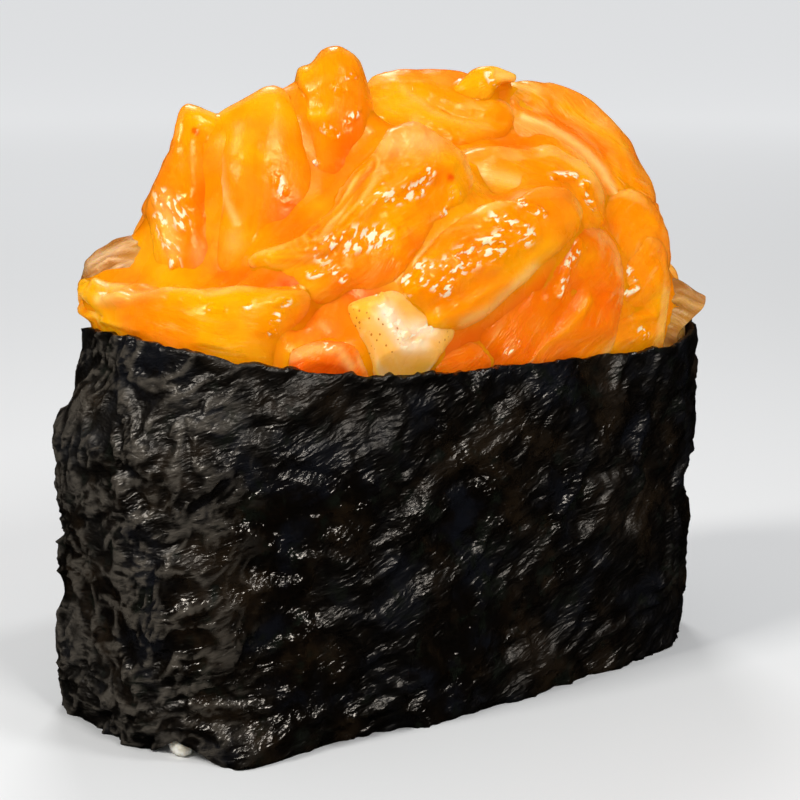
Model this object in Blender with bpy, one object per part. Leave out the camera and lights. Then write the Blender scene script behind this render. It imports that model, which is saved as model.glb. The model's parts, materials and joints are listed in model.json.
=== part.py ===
"""Gunkan sushi: a nori band round pressed rice, heaped with folded slices of raw salmon.

The long axis of the band is X, its front is -Y and it stands on Z = 0.
Sizes are in millimetres and turn into metres where a mesh is made.
"""

import math
import random
from dataclasses import dataclass

import bmesh
import bpy
import numpy as np

MM = 0.001
GAP = 0.3
SLIVER = 0.1

# The nori band is an oval tube cut from a standard sheet
BAND_LENGTH = 62.0
BAND_WIDTH = 30.5
BAND_HEIGHT = 31.5
BAND_SQUARENESS = 3.2
NORI_THICKNESS = 0.5
LAP = 20.0
LAP_RAMP = 12.0
LAP_ZONE = 24.0
LAP_ZONE_EDGE = 3.0
WRINKLE_DEPTH = 0.35
# Rim waves are (waves round the band, cosine height, sine height)
RIM_WAVES = ((1, -1.4, 0.55), (2, 0.9, 0.5))
# (waves round the band, turn per mm of height, share of the wrinkle depth)
WRINKLES = ((7, 0.16, 0.5), (12, -0.24, 0.3), (19, 0.33, 0.2))
END_TAPER = 2.6
TAPER_START = 24.0
FOOT_TUCK = 0.5
FOOT_HEIGHT = 4.0
# The foot flares out at the near corner, and lifts off the board over one grain of rice
FLARE_PLACE = 0.600
FLARE_WIDTH = 0.026
FLARE_DEPTH = 2.0
LIFT_PLACE = 0.560
LIFT_WIDTH = 0.013
LIFT_HEIGHT = 1.5

# Pressed rice fills the lower part of the band
RICE_BASE = 0.7
RICE_TOP = 22.0
# Heights of the rice core's rings, and how much further in each one is
RICE_RINGS = (
    (RICE_BASE, 0.5),
    (2.2, 0.0),
    (FOOT_HEIGHT + 1.5, 0.0),
    (RICE_TOP - 1.5, 0.0),
    (RICE_TOP, 1.2),
)
GRAIN_LENGTH = 5.6
GRAIN_WIDTH = 2.5
GRAIN_HEIGHT = 2.1
GRAIN_PITCH = 6.6
GRAIN_ROW = 4.1
GRAIN_CENTRE = 0.6
GRAIN_SPREAD = 0.35
GRAIN_SIDES = 5
GRAIN_SEED = 11
EDGE_GRAIN_INSET = 3.2
EDGE_GRAIN_CENTRE = 0.5
EDGE_GRAIN_TURN = math.radians(30.0)

# The heap of chopped salmon that the slices lie on
HEAP_LEVELS = (RICE_TOP + GAP, 27.0, 30.0, 33.0, 36.0, 39.0, 42.0, 45.0)
HEAP_CLEAR = 0.2
HEAP_TOP = 46.5
HEAP_SHOULDER = 27.0
# The heap narrows to a ridge: it loses this share of its length and its width, by these powers of its rise
HEAP_END_LOSS = 0.55
HEAP_END_POWER = 1.0
HEAP_SIDE_LOSS = 0.92
HEAP_SIDE_POWER = 0.8

# Slices are drawn upright in the plane that faces this way round from the front
FACING_TURN = math.radians(38.0)
SLICE_SIDES = 16
SLICE_RINGS = (0.62, 0.88)
EDGE_ROUNDNESS = 4.2
CURVE_STEPS = 12
GUARD_REACH = 16.0
SHARP_ANGLE = math.radians(50.0)

BAND_COLUMNS = 78
BAND_ROWS = 7
BODY_COLUMNS = 36


@dataclass(frozen=True)
class Finish:
    """Colour, roughness and metallic value of one material."""

    name: str
    colour: tuple
    roughness: float


@dataclass(frozen=True)
class Slice:
    """A slice of salmon: its outline seen from the front, and how it lies on the heap."""

    name: str
    outline: tuple
    depth: float
    turn: float
    lean: float
    thickness: float
    bow: float = 1.5
    back: bool = False
    finish: str = "salmon"


FINISHES = (
    Finish("nori", (0.010, 0.009, 0.007, 1.0), 0.42),
    Finish("rice", (0.80, 0.77, 0.69, 1.0), 0.45),
    Finish("salmon", (0.90, 0.24, 0.02, 1.0), 0.25),
    Finish("salmon_deep", (0.82, 0.13, 0.01, 1.0), 0.22),
    Finish("salmon_pale", (0.93, 0.52, 0.22, 1.0), 0.28),
    Finish("salmon_brown", (0.62, 0.29, 0.12, 1.0), 0.35),
)

# Each slice in front of another comes before it in this list, and stays whole there
FRONT_SLICES = (
    Slice(
        "rim_pale_slice",
        ((-3.5, 36.0), (-1.0, 37.0), (3.0, 35.0), (5.5, 33.5), (4.0, 31.0), (2.0, 28.5), (-1.5, 28.5),
         (-2.5, 33.0)),
        depth=15.5, turn=-0.7, lean=-0.45, thickness=4.0, bow=0.8, finish="salmon_pale",
    ),
    Slice(
        "rim_cube",
        ((-8.5, 33.0), (-5.0, 34.0), (-2.0, 33.0), (-1.5, 28.5), (-8.5, 29.5)),
        depth=19.0, turn=-0.75, lean=-0.2, thickness=4.0, bow=0.4, finish="salmon_deep",
    ),
    Slice(
        "rim_chip",
        ((3.0, 30.5), (4.5, 32.0), (7.0, 32.0), (9.0, 30.0), (8.5, 27.0), (3.0, 27.5)),
        depth=12.0, turn=-0.78, lean=-0.2, thickness=3.5, bow=0.3, finish="salmon_deep",
    ),
    Slice(
        "left_slab",
        ((-27.5, 34.5), (-26.0, 36.7), (-19.0, 36.7), (-12.5, 37.7), (-7.5, 37.7), (-7.5, 34.5),
         (-9.5, 28.5), (-17.0, 27.0), (-26.0, 29.5)),
        depth=18.5, turn=0.65, lean=-0.3, thickness=6.0, bow=5.5,
    ),
    Slice(
        "front_tongue",
        ((-0.5, 36.5), (0.5, 39.0), (4.0, 41.5), (8.5, 43.5), (14.0, 43.5), (17.5, 40.5), (15.0, 37.0),
         (10.5, 33.5), (5.5, 32.0), (1.0, 34.0)),
        depth=7.0, turn=-0.6, lean=-0.7, thickness=8.0, bow=2.0,
    ),
    Slice(
        "left_tongue",
        ((-10.5, 39.0), (-6.0, 43.5), (-2.5, 47.0), (0.5, 49.0), (4.0, 49.0), (6.5, 46.5), (5.5, 42.5),
         (1.5, 39.0), (-2.5, 37.0), (-7.5, 37.0)),
        depth=11.0, turn=-0.5, lean=-0.6, thickness=6.0, bow=1.5,
    ),
    Slice(
        "rim_right_slice",
        ((4.0, 31.5), (8.5, 33.5), (13.0, 36.0), (17.0, 38.0), (20.0, 36.0), (20.5, 31.0),
         (17.5, 27.5), (10.0, 27.0)),
        depth=4.0, turn=-0.75, lean=-0.4, thickness=7.0, bow=1.5, finish="salmon_deep",
    ),
    Slice(
        "right_fold",
        ((15.5, 30.0), (18.5, 33.5), (19.0, 37.5), (22.0, 39.5), (25.5, 38.0), (27.0, 34.0),
         (27.5, 31.0), (25.0, 27.0), (18.0, 27.0)),
        depth=-4.5, turn=-0.9, lean=-0.45, thickness=8.0, bow=1.5,
    ),
    Slice(
        "right_end_strip",
        ((23.5, 32.5), (26.0, 34.0), (28.5, 32.3), (30.2, 31.2), (28.0, 27.0), (23.0, 27.5)),
        depth=-10.0, turn=-0.5, lean=-0.4, thickness=5.0, bow=0.8, finish="salmon_brown",
    ),
    Slice(
        "rim_filler",
        ((-7.5, 35.0), (-6.0, 36.5), (-3.0, 37.0), (-1.5, 35.0), (-1.5, 30.0), (-7.5, 30.0)),
        depth=15.0, turn=-0.7, lean=-0.3, thickness=5.0, bow=0.5,
    ),
    Slice(
        "right_petal",
        ((-16.0, 49.5), (-12.5, 52.5), (-10.0, 53.0), (-7.5, 51.5), (-6.5, 47.0), (-7.5, 41.0),
         (-9.5, 36.0), (-14.0, 35.0), (-16.5, 39.0)),
        depth=9.0, turn=0.2, lean=-0.3, thickness=9.0, bow=2.2,
    ),
    Slice(
        "left_petal",
        ((-21.0, 42.5), (-19.0, 46.5), (-16.5, 51.5), (-14.5, 50.5), (-13.5, 46.0), (-15.0, 38.0),
         (-18.0, 35.5), (-20.0, 39.0)),
        depth=8.5, turn=0.3, lean=-0.3, thickness=8.0, bow=1.6,
    ),
    Slice(
        "tall_finger",
        ((-8.5, 53.5), (-7.0, 55.5), (-4.5, 56.0), (-2.5, 54.5), (-1.0, 51.0), (-2.0, 46.5),
         (-4.5, 42.0), (-8.0, 38.5), (-9.5, 43.0)),
        depth=3.5, turn=0.0, lean=-0.2, thickness=9.0, bow=1.8,
    ),
    Slice(
        "inner_right_slice",
        ((4.5, 46.0), (8.5, 47.5), (14.0, 47.0), (19.0, 44.5), (21.5, 41.0), (19.5, 37.5),
         (14.0, 38.0), (7.5, 41.0)),
        depth=-1.0, turn=-0.6, lean=-0.8, thickness=6.5, bow=2.0,
    ),
    Slice(
        "right_cheek",
        ((19.0, 41.5), (22.5, 43.5), (25.0, 41.0), (25.7, 37.0), (23.0, 34.5), (19.5, 36.0)),
        depth=-7.0, turn=-0.9, lean=-0.6, thickness=6.5, bow=1.2,
    ),
    Slice(
        "right_dome",
        ((3.0, 48.5), (7.5, 51.5), (13.0, 51.8), (17.5, 50.5), (21.5, 48.0), (24.5, 44.0),
         (25.6, 39.5), (21.0, 36.0), (14.0, 39.0), (8.0, 43.0)),
        depth=-9.5, turn=-0.55, lean=-0.75, thickness=8.0, bow=3.0,
    ),
    Slice(
        "top_slice",
        ((-2.5, 50.5), (0.5, 53.0), (5.0, 52.8), (9.5, 51.5), (12.0, 48.5), (8.5, 46.0), (3.0, 46.0),
         (-2.0, 47.0)),
        depth=-6.0, turn=-0.4, lean=-1.5, thickness=5.5, bow=1.0,
    ),
    Slice(
        "top_curl",
        ((5.0, 51.5), (6.5, 53.6), (9.0, 54.5), (11.5, 54.0), (11.5, 53.0), (9.5, 52.3), (9.0, 50.8),
         (6.5, 50.2)),
        depth=-7.0, turn=-0.2, lean=-0.2, thickness=2.6, bow=0.2,
    ),
    Slice(
        "left_end_strip",
        ((-27.5, 36.5), (-26.0, 38.8), (-23.5, 40.2), (-20.5, 39.8), (-17.5, 37.0), (-18.5, 33.0),
         (-23.0, 31.0), (-27.0, 32.5)),
        depth=3.5, turn=0.1, lean=-0.6, thickness=5.0, bow=0.8, finish="salmon_brown",
    ),
)

BACK_SLICES = (
    Slice(
        "back_left_slab",
        ((-27.0, 34.5), (-22.5, 38.5), (-15.0, 39.5), (-8.5, 37.0), (-8.0, 32.5), (-12.0, 29.0),
         (-20.0, 28.5), (-26.5, 30.5)),
        depth=18.8, turn=0.45, lean=-0.5, thickness=7.0, bow=4.0, back=True,
    ),
    Slice(
        "back_low_tongue",
        ((-9.5, 34.0), (-6.0, 38.5), (1.0, 39.5), (7.0, 36.5), (7.0, 31.0), (2.5, 28.0), (-6.0, 28.5)),
        depth=14.8, turn=-0.6, lean=-0.6, thickness=7.0, bow=1.8, back=True,
    ),
    Slice(
        "back_right_fold",
        ((6.5, 31.5), (8.5, 36.5), (14.0, 38.5), (20.0, 36.5), (21.5, 31.5), (18.0, 27.5), (9.0, 27.5)),
        depth=4.5, turn=-0.75, lean=-0.55, thickness=7.0, bow=1.8, back=True, finish="salmon_deep",
    ),
    Slice(
        "back_end_chip",
        ((18.5, 30.0), (20.5, 34.5), (24.0, 34.8), (26.5, 32.0), (25.0, 27.5), (19.5, 27.5)),
        depth=-3.0, turn=-0.7, lean=-0.4, thickness=6.0, bow=0.8, back=True,
    ),
    Slice(
        "back_high_slice",
        ((-23.5, 39.5), (-19.5, 45.5), (-12.5, 48.0), (-5.0, 46.0), (-4.0, 40.0), (-9.0, 36.5),
         (-18.0, 36.0)),
        depth=14.5, turn=-0.3, lean=-0.8, thickness=8.0, bow=2.6, back=True,
    ),
    Slice(
        "back_crest_slice",
        ((-5.0, 42.0), (-3.0, 48.0), (3.0, 50.0), (9.0, 48.5), (12.0, 43.5), (11.0, 38.0), (5.0, 36.5),
         (-2.5, 37.5)),
        depth=6.0, turn=-0.55, lean=-0.7, thickness=8.0, bow=2.2, back=True,
    ),
    Slice(
        "back_shoulder_slice",
        ((10.0, 41.0), (12.5, 46.0), (18.0, 45.5), (22.0, 40.0), (21.5, 35.0), (15.5, 34.0),
         (10.5, 36.5)),
        depth=-1.5, turn=-0.55, lean=-0.6, thickness=7.0, bow=1.8, back=True,
    ),
)


def clear_scene():
    """Remove every object that the new file starts with."""
    for thing in list(bpy.data.objects):
        bpy.data.objects.remove(thing, do_unlink=True)


def make_materials():
    """Make one Principled material for each finish, and return them by name."""
    materials = {}
    for finish in FINISHES:
        material = bpy.data.materials.new(finish.name)
        material.use_nodes = True
        shader = material.node_tree.nodes["Principled BSDF"]
        shader.inputs["Base Color"].default_value = finish.colour
        shader.inputs["Roughness"].default_value = finish.roughness
        shader.inputs["Metallic"].default_value = 0.0
        materials[finish.name] = material
    return materials


def smooth_step(value):
    """Ease from 0 to 1 as the value goes from 0 to 1."""
    value = np.clip(value, 0.0, 1.0)
    return value * value * (3.0 - 2.0 * value)


def signed_power(value, power):
    """Raise to a power and keep the sign."""
    return np.sign(value) * np.abs(value) ** power


def oval(angle, inset):
    """Point of the band's oval plan, drawn in by the inset."""
    power = 2.0 / BAND_SQUARENESS
    across = (BAND_LENGTH / 2 - inset) * signed_power(np.cos(angle), power)
    along = (BAND_WIDTH / 2 - inset) * signed_power(np.sin(angle), power)
    return across, along


def even_angles():
    """Angles and the share of the way round that each one reaches, for even spacing."""
    angles = np.linspace(0.0, 2.0 * math.pi, 4001)
    x, y = oval(angles, 0.0)
    steps = np.hypot(np.diff(x), np.diff(y))
    length = np.concatenate([[0.0], np.cumsum(steps)])
    return angles, length / length[-1], length[-1]


ANGLES, SHARES, PERIMETER = even_angles()


def plan_angle(share):
    """Oval angle at a share of the way round the band."""
    return np.interp(np.mod(share, 1.0), SHARES, ANGLES)


def rim_height(share):
    """Height of the nori's upper edge."""
    angle = plan_angle(share)
    height = BAND_HEIGHT
    for waves, cosine, sine in RIM_WAVES:
        height = height + cosine * np.cos(waves * angle) + sine * np.sin(waves * angle)
    return height


def bump(share, place, width):
    """A smooth bump of height 1 at a place round the band."""
    away = (np.mod(share - place + 0.5, 1.0) - 0.5) / width
    return np.exp(-away * away)


def foot_height(share):
    """Height of the nori's lower edge: on the board but for the lift over one grain."""
    return LIFT_HEIGHT * bump(share, LIFT_PLACE, LIFT_WIDTH)


def band_inset(share, height):
    """How far the band is drawn in: at its foot, and at the top of its left end."""
    angle = plan_angle(share)
    end = np.cos(angle) ** 2
    tuck = FOOT_TUCK * (0.5 + 0.5 * end) - FLARE_DEPTH * bump(share, FLARE_PLACE, FLARE_WIDTH)
    foot = tuck * smooth_step(1.0 - height / FOOT_HEIGHT)
    left = np.clip(-np.cos(angle), 0.0, 1.0) ** 1.5
    taper = END_TAPER * left * smooth_step((height - TAPER_START) / (BAND_HEIGHT - TAPER_START))
    return foot + taper


def wrinkle(share, height):
    """Low folds of the nori, outwards."""
    total = 0.0
    for waves, twist, part in WRINKLES:
        total = total + part * np.sin(2.0 * math.pi * waves * share + twist * height + waves)
    return WRINKLE_DEPTH * total


def inner_limit(share, height):
    """Inset at which a filling stays clear of the nori, with room for the lap at the back."""
    x, y = oval(plan_angle(share), 0.0)
    lap_zone = np.where(y > 0.0, 1.0 - smooth_step((np.abs(x) - LAP_ZONE) / LAP_ZONE_EDGE), 0.0)
    clear = NORI_THICKNESS + WRINKLE_DEPTH + GAP + lap_zone * (NORI_THICKNESS + GAP)
    return band_inset(share, height) + clear


def object_from_faces(name, points, faces, material=None):
    """Make an object from points in millimetres, with every face turned outwards."""
    mesh = bpy.data.meshes.new(name)
    work = bmesh.new()
    corners = [work.verts.new([value * MM for value in point]) for point in points]
    for face in faces:
        work.faces.new([corners[index] for index in face])
    bmesh.ops.recalc_face_normals(work, faces=work.faces)
    bmesh.ops.triangulate(work, faces=work.faces)
    work.to_mesh(mesh)
    work.free()
    if material is not None:
        mesh.materials.append(material)
    made = bpy.data.objects.new(name, mesh)
    bpy.context.collection.objects.link(made)
    return made


def loft(name, rings, start=None, end=None, closed=False, material=None):
    """Join rings of equal count into a closed skin, with a point at each end or as a ring of rings."""
    count = len(rings[0])
    points = [tuple(point) for ring in rings for point in ring]
    faces = []
    bands = len(rings) if closed else len(rings) - 1
    for band in range(bands):
        low = band * count
        high = ((band + 1) % len(rings)) * count
        for side in range(count):
            after = (side + 1) % count
            faces.append((low + side, low + after, high + after, high + side))
    for tip, base in ((start, 0), (end, (len(rings) - 1) * count)):
        if tip is not None:
            points.append(tuple(tip))
            for side in range(count):
                faces.append((base + side, base + (side + 1) % count, len(points) - 1))
    return object_from_faces(name, points, faces, material)


def combine(target, tools, operation):
    """Apply Booleans between one object and a list of others."""
    for tool in tools:
        modifier = target.modifiers.new(operation, "BOOLEAN")
        modifier.operation = operation
        modifier.object = tool
        modifier.solver = "EXACT"
    apply_modifiers(target)


def union_all(target, pieces):
    """Join a collection of pieces to an object in one Boolean, and remove the pieces."""
    group = bpy.data.collections.new(target.name + "_pieces")
    bpy.context.scene.collection.children.link(group)
    for piece in pieces:
        bpy.context.collection.objects.unlink(piece)
        group.objects.link(piece)
    modifier = target.modifiers.new("union", "BOOLEAN")
    modifier.operation = "UNION"
    modifier.operand_type = "COLLECTION"
    modifier.collection = group
    modifier.solver = "EXACT"
    apply_modifiers(target)
    remove_objects(pieces)
    bpy.data.collections.remove(group)


def apply_modifiers(target):
    """Replace an object's mesh by what its modifiers make."""
    graph = bpy.context.evaluated_depsgraph_get()
    mesh = bpy.data.meshes.new_from_object(target.evaluated_get(graph))
    target.modifiers.clear()
    target.data = mesh


def remove_objects(things):
    """Remove objects that were only tools."""
    for thing in things:
        bpy.data.objects.remove(thing, do_unlink=True)


def face_islands(work):
    """Groups of faces that share edges."""
    islands = []
    left = set(work.faces)
    while left:
        island = []
        front = [left.pop()]
        while front:
            face = front.pop()
            island.append(face)
            near = {other for edge in face.edges for other in edge.link_faces} & left
            left -= near
            front.extend(near)
        islands.append(island)
    return islands


def keep_largest(target):
    """Keep an object's largest body, and mend the slivers that cutting leaves."""
    work = bmesh.new()
    work.from_mesh(target.data)
    bmesh.ops.remove_doubles(work, verts=work.verts, dist=SLIVER * MM)
    bmesh.ops.dissolve_degenerate(work, edges=work.edges, dist=SLIVER * MM)
    bmesh.ops.triangulate(work, faces=work.faces)
    islands = face_islands(work)
    largest = max(islands, key=len)
    scraps = [face for island in islands if island is not largest for face in island]
    bmesh.ops.delete(work, geom=scraps, context="FACES")
    work.to_mesh(target.data)
    work.free()


def band_ring(share, inset, height):
    """A ring of points round the band at an inset and a height."""
    x, y = oval(plan_angle(share), inset)
    return np.column_stack([x, y, np.broadcast_to(height, x.shape)])


def build_nori(material):
    """The nori: one strip rolled into an oval tube, whose outer end laps over at the back."""
    lap_share = LAP / PERIMETER
    start = 0.25 - lap_share / 2
    run = np.linspace(0.0, 1.0 + lap_share, BAND_COLUMNS + 1)
    share = start + run
    tucked = 1.0 - smooth_step((run * PERIMETER - LAP) / LAP_RAMP)
    sheets = []
    for inner in (0.0, NORI_THICKNESS):
        rows = []
        for row in range(BAND_ROWS + 1):
            part = row / BAND_ROWS
            height = foot_height(share) * (1.0 - part) + rim_height(share) * part
            inset = band_inset(share, height) + tucked * (NORI_THICKNESS + GAP) + inner
            rows.append(band_ring(share, inset - wrinkle(share, height), height))
        sheets.append(rows)
    return sheet_object("nori", sheets, material)


def sheet_object(name, sheets, material):
    """Close two sheets of rows, an outer and an inner one, into a thin solid."""
    rows = len(sheets[0])
    columns = len(sheets[0][0])
    points = [tuple(point) for sheet in sheets for row in sheet for point in row]

    def index(sheet, row, column):
        return (sheet * rows + row) * columns + column

    faces = []
    for row in range(rows - 1):
        for column in range(columns - 1):
            for sheet in (0, 1):
                faces.append((index(sheet, row, column), index(sheet, row, column + 1),
                              index(sheet, row + 1, column + 1), index(sheet, row + 1, column)))
    for column in range(columns - 1):
        for row in (0, rows - 1):
            faces.append((index(0, row, column), index(0, row, column + 1),
                          index(1, row, column + 1), index(1, row, column)))
    for row in range(rows - 1):
        for column in (0, columns - 1):
            faces.append((index(0, row, column), index(0, row + 1, column),
                          index(1, row + 1, column), index(1, row, column)))
    return object_from_faces(name, points, faces, material)


def grain(name, place, turn, material):
    """One grain of rice, pressed flat where it meets the board."""
    rings = []
    for along, size in ((-0.31, 0.72), (0.0, 1.0), (0.31, 0.72)):
        along *= GRAIN_LENGTH
        ring = []
        for side in range(GRAIN_SIDES):
            angle = 2.0 * math.pi * (side + 0.5) / GRAIN_SIDES - math.pi / 2
            out = 0.5 * GRAIN_WIDTH * size * math.cos(angle)
            up = max(place[2] + 0.5 * GRAIN_HEIGHT * size * math.sin(angle), 0.0)
            ring.append((place[0] + along * math.cos(turn) - out * math.sin(turn),
                         place[1] + along * math.sin(turn) + out * math.cos(turn), up))
        rings.append(ring)
    reach = GRAIN_LENGTH / 2
    tips = [(place[0] + sign * reach * math.cos(turn), place[1] + sign * reach * math.sin(turn),
             max(place[2], 0.3)) for sign in (-1.0, 1.0)]
    return loft(name, rings, tips[0], tips[1], material=material)


def grain_places():
    """Centre and turn of each grain on the underside: one in the middle, rows on each side."""
    draw = random.Random(GRAIN_SEED)
    places = []
    half_rows = int(BAND_WIDTH / 2 / GRAIN_ROW)
    half_columns = int(BAND_LENGTH / 2 / GRAIN_PITCH)
    for row in range(-half_rows, half_rows + 1):
        for column in range(-half_columns, half_columns + 1):
            shift = 0.5 * (row % 2)
            x = (column + shift) * GRAIN_PITCH
            y = row * GRAIN_ROW
            along = abs(x / (BAND_LENGTH / 2 - GRAIN_LENGTH))
            beside = abs(y / (BAND_WIDTH / 2 - GRAIN_ROW))
            turn = draw.uniform(-GRAIN_SPREAD, GRAIN_SPREAD)
            if along ** 3 + beside ** 3 < 1.0:
                places.append((x, y, turn))
    return places


def build_rice(material):
    """Pressed rice: a core that fills the band, with grains on its underside and under the lifted edge."""
    share = np.arange(BODY_COLUMNS) / BODY_COLUMNS
    rings = []
    for height, extra in RICE_RINGS:
        rings.append(band_ring(share, inner_limit(share, height) + extra, height))
    core = loft("rice", rings, (0.0, 0.0, RICE_BASE), (0.0, 0.0, RICE_TOP), material=material)
    grains = []
    for number, (x, y, turn) in enumerate(grain_places()):
        grains.append(grain(f"grain_{number}", (x, y, GRAIN_CENTRE), turn, material))
    x, y = oval(plan_angle(LIFT_PLACE), EDGE_GRAIN_INSET)
    x_out, y_out = oval(plan_angle(LIFT_PLACE), 0.0)
    turn = math.atan2(y_out - y, x_out - x) + EDGE_GRAIN_TURN
    grains.append(grain("grain_at_edge", (x, y, EDGE_GRAIN_CENTRE), turn, material))
    union_all(core, grains)
    keep_largest(core)
    return core


def heap_scale(height):
    """Shares of the band's length and width that the salmon heap fills at a height."""
    rise = max(0.0, (height - HEAP_SHOULDER) / (HEAP_TOP - HEAP_SHOULDER))
    return (1.0 - HEAP_END_LOSS * rise ** HEAP_END_POWER, 1.0 - HEAP_SIDE_LOSS * rise ** HEAP_SIDE_POWER)


def build_heap(material, swell=0.0):
    """The heap of chopped salmon under the slices, down to the rice."""
    share = np.arange(BODY_COLUMNS) / BODY_COLUMNS
    rings = []
    for height in HEAP_LEVELS:
        ring = band_ring(share, inner_limit(share, min(height, BAND_HEIGHT)) + HEAP_CLEAR - swell, height)
        ring[:, :2] *= heap_scale(height)
        rings.append(ring)
    base = (0.0, 0.0, HEAP_LEVELS[0])
    return loft("salmon_heap", rings, base, (0.0, 0.0, HEAP_TOP + swell), material=material)


def rim_guard():
    """A ring round the outside of the filling, from inside the nori to above its rim."""
    share = np.arange(BODY_COLUMNS * 2) / (BODY_COLUMNS * 2)
    top = rim_height(share) + GAP
    rings = [
        band_ring(share, inner_limit(share, RICE_TOP), RICE_TOP),
        band_ring(share, inner_limit(share, BAND_HEIGHT), top),
        band_ring(share, -GUARD_REACH, top),
        band_ring(share, -GUARD_REACH, RICE_TOP),
    ]
    return loft("rim_guard", rings, closed=True)


def smooth_outline(corners, count):
    """Evenly spaced points on a closed smooth curve through the corners."""
    corners = np.array(corners, dtype=float)
    fine = []
    for number in range(len(corners)):
        before, here, after, beyond = (corners[(number + shift) % len(corners)] for shift in (-1, 0, 1, 2))
        straight = after - before
        bend = 2 * before - 5 * here + 4 * after - beyond
        twist = 3 * here - before - 3 * after + beyond
        for step in range(CURVE_STEPS):
            t = step / CURVE_STEPS
            fine.append(0.5 * (2 * here + straight * t + bend * t ** 2 + twist * t ** 3))
    fine = np.array(fine)
    ends = np.vstack([fine, fine[:1]])
    length = np.concatenate([[0.0], np.cumsum(np.hypot(*np.diff(ends, axis=0).T))])
    want = np.arange(count) / count * length[-1]
    return np.column_stack([np.interp(want, length, ends[:, axis]) for axis in (0, 1)])


def build_slice(shape, material=None, swell=0.0):
    """A slice: a pillow with a rounded edge on its outline, bowed, leaned and turned into place."""
    outline = smooth_outline(shape.outline, SLICE_SIDES)
    centre = outline.mean(axis=0)
    reach = np.abs(outline - centre).max(axis=0)
    half = shape.thickness / 2 + swell
    grown = 1.0 + swell / reach.min()
    normal = np.array([-shape.turn, 1.0, -shape.lean])
    normal /= np.linalg.norm(normal)
    side = -1.0 if shape.back else 1.0
    across = side * np.array([math.cos(FACING_TURN), -math.sin(FACING_TURN), 0.0])
    towards = side * np.array([-math.sin(FACING_TURN), -math.cos(FACING_TURN), 0.0])
    upward = np.array([0.0, 0.0, 1.0])

    def place(flat, lift):
        offset = flat - centre
        depth = shape.depth + shape.turn * offset[:, 0] + shape.lean * offset[:, 1]
        sag = shape.bow * (offset[:, 0] / reach[0]) ** 2
        frame = np.column_stack([flat[:, 0], depth - sag, flat[:, 1]]) + lift[:, None] * normal
        return frame @ np.array([across, towards, upward])

    def ring(ratio, face):
        rise = half * (1.0 - ratio ** EDGE_ROUNDNESS) ** 0.5
        return place(centre + (outline - centre) * ratio * grown, np.full(len(outline), face * rise))

    front = [ring(ratio, 1.0) for ratio in SLICE_RINGS]
    back = [ring(ratio, -1.0) for ratio in reversed(SLICE_RINGS)]
    tips = [place(centre[None, :], np.array([face * half]))[0] for face in (1.0, -1.0)]
    return loft(shape.name, front + [ring(1.0, 1.0)] + back, tips[0], tips[1], material=material)


def boxes_meet(one, other):
    """Whether two objects' boxes overlap."""
    corners = [np.array([corner.co for corner in thing.data.vertices]) for thing in (one, other)]
    low = np.maximum(corners[0].min(axis=0), corners[1].min(axis=0))
    high = np.minimum(corners[0].max(axis=0), corners[1].max(axis=0))
    return bool(np.all(low < high))


def build_salmon(materials):
    """The heap, and the slices on it, each cut back from the ones before it."""
    heap = build_heap(materials["salmon_deep"])
    tools = [build_heap(None, GAP), rim_guard()]
    for shape in FRONT_SLICES + BACK_SLICES:
        made = build_slice(shape, materials[shape.finish])
        combine(made, [tool for tool in tools if boxes_meet(made, tool)], "DIFFERENCE")
        keep_largest(made)
        tools.append(build_slice(shape, None, GAP))
    remove_objects(tools)
    return heap


def shade_all():
    """Shade every piece smooth, with its true edges kept sharp."""
    for thing in bpy.data.objects:
        thing.data.shade_smooth()
        thing.data.set_sharp_from_angle(angle=SHARP_ANGLE)


def main():
    """Build the sushi from the board up."""
    clear_scene()
    materials = make_materials()
    build_nori(materials["nori"])
    build_rice(materials["rice"])
    build_salmon(materials)
    shade_all()


main()
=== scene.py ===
"""Looks of a gunkan sushi: crinkled nori round pressed rice, heaped with glossy slices of raw salmon.

The long axis of the band is X, its front is -Y and it stands on Z = 0.
Sizes are in millimetres and turn into metres where a mesh is made.
"""

import itertools
import json
import logging
import math
from dataclasses import dataclass
from enum import Enum

import bpy
import numpy as np
from mathutils import Matrix, Vector
from mathutils.kdtree import KDTree

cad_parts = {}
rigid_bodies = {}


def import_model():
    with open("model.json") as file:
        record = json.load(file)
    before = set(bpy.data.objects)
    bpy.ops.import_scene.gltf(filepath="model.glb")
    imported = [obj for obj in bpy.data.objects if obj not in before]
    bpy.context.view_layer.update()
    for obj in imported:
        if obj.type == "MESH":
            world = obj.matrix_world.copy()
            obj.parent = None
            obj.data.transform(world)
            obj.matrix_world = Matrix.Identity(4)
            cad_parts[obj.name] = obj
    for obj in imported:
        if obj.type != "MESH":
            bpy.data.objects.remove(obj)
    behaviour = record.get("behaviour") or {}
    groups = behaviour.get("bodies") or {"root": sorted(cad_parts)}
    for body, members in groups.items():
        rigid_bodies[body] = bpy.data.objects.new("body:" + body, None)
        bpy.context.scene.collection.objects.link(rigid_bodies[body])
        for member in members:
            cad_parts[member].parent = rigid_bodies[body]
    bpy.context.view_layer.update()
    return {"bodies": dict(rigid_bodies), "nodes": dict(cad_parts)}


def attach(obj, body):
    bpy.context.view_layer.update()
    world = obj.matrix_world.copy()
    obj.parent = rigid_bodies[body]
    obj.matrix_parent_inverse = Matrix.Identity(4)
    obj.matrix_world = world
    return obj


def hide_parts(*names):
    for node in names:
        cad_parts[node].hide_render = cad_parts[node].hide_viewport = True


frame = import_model()

log = logging.getLogger("gunkan")

Array = np.ndarray
Mesh = bpy.types.Mesh
Socket = bpy.types.NodeSocket
Thing = bpy.types.Object

MM = 0.001
BODY = "root"
CELL_FACTORS = (73856093, 19349663, 83492791)
SEED_FACTOR = 2654435761
STIR_FACTOR = 1103515245
STIR_STEP = 12345
STIR_MASK = 0x7FFFFFFF
NOISE_GAIN = 1.5


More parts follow.
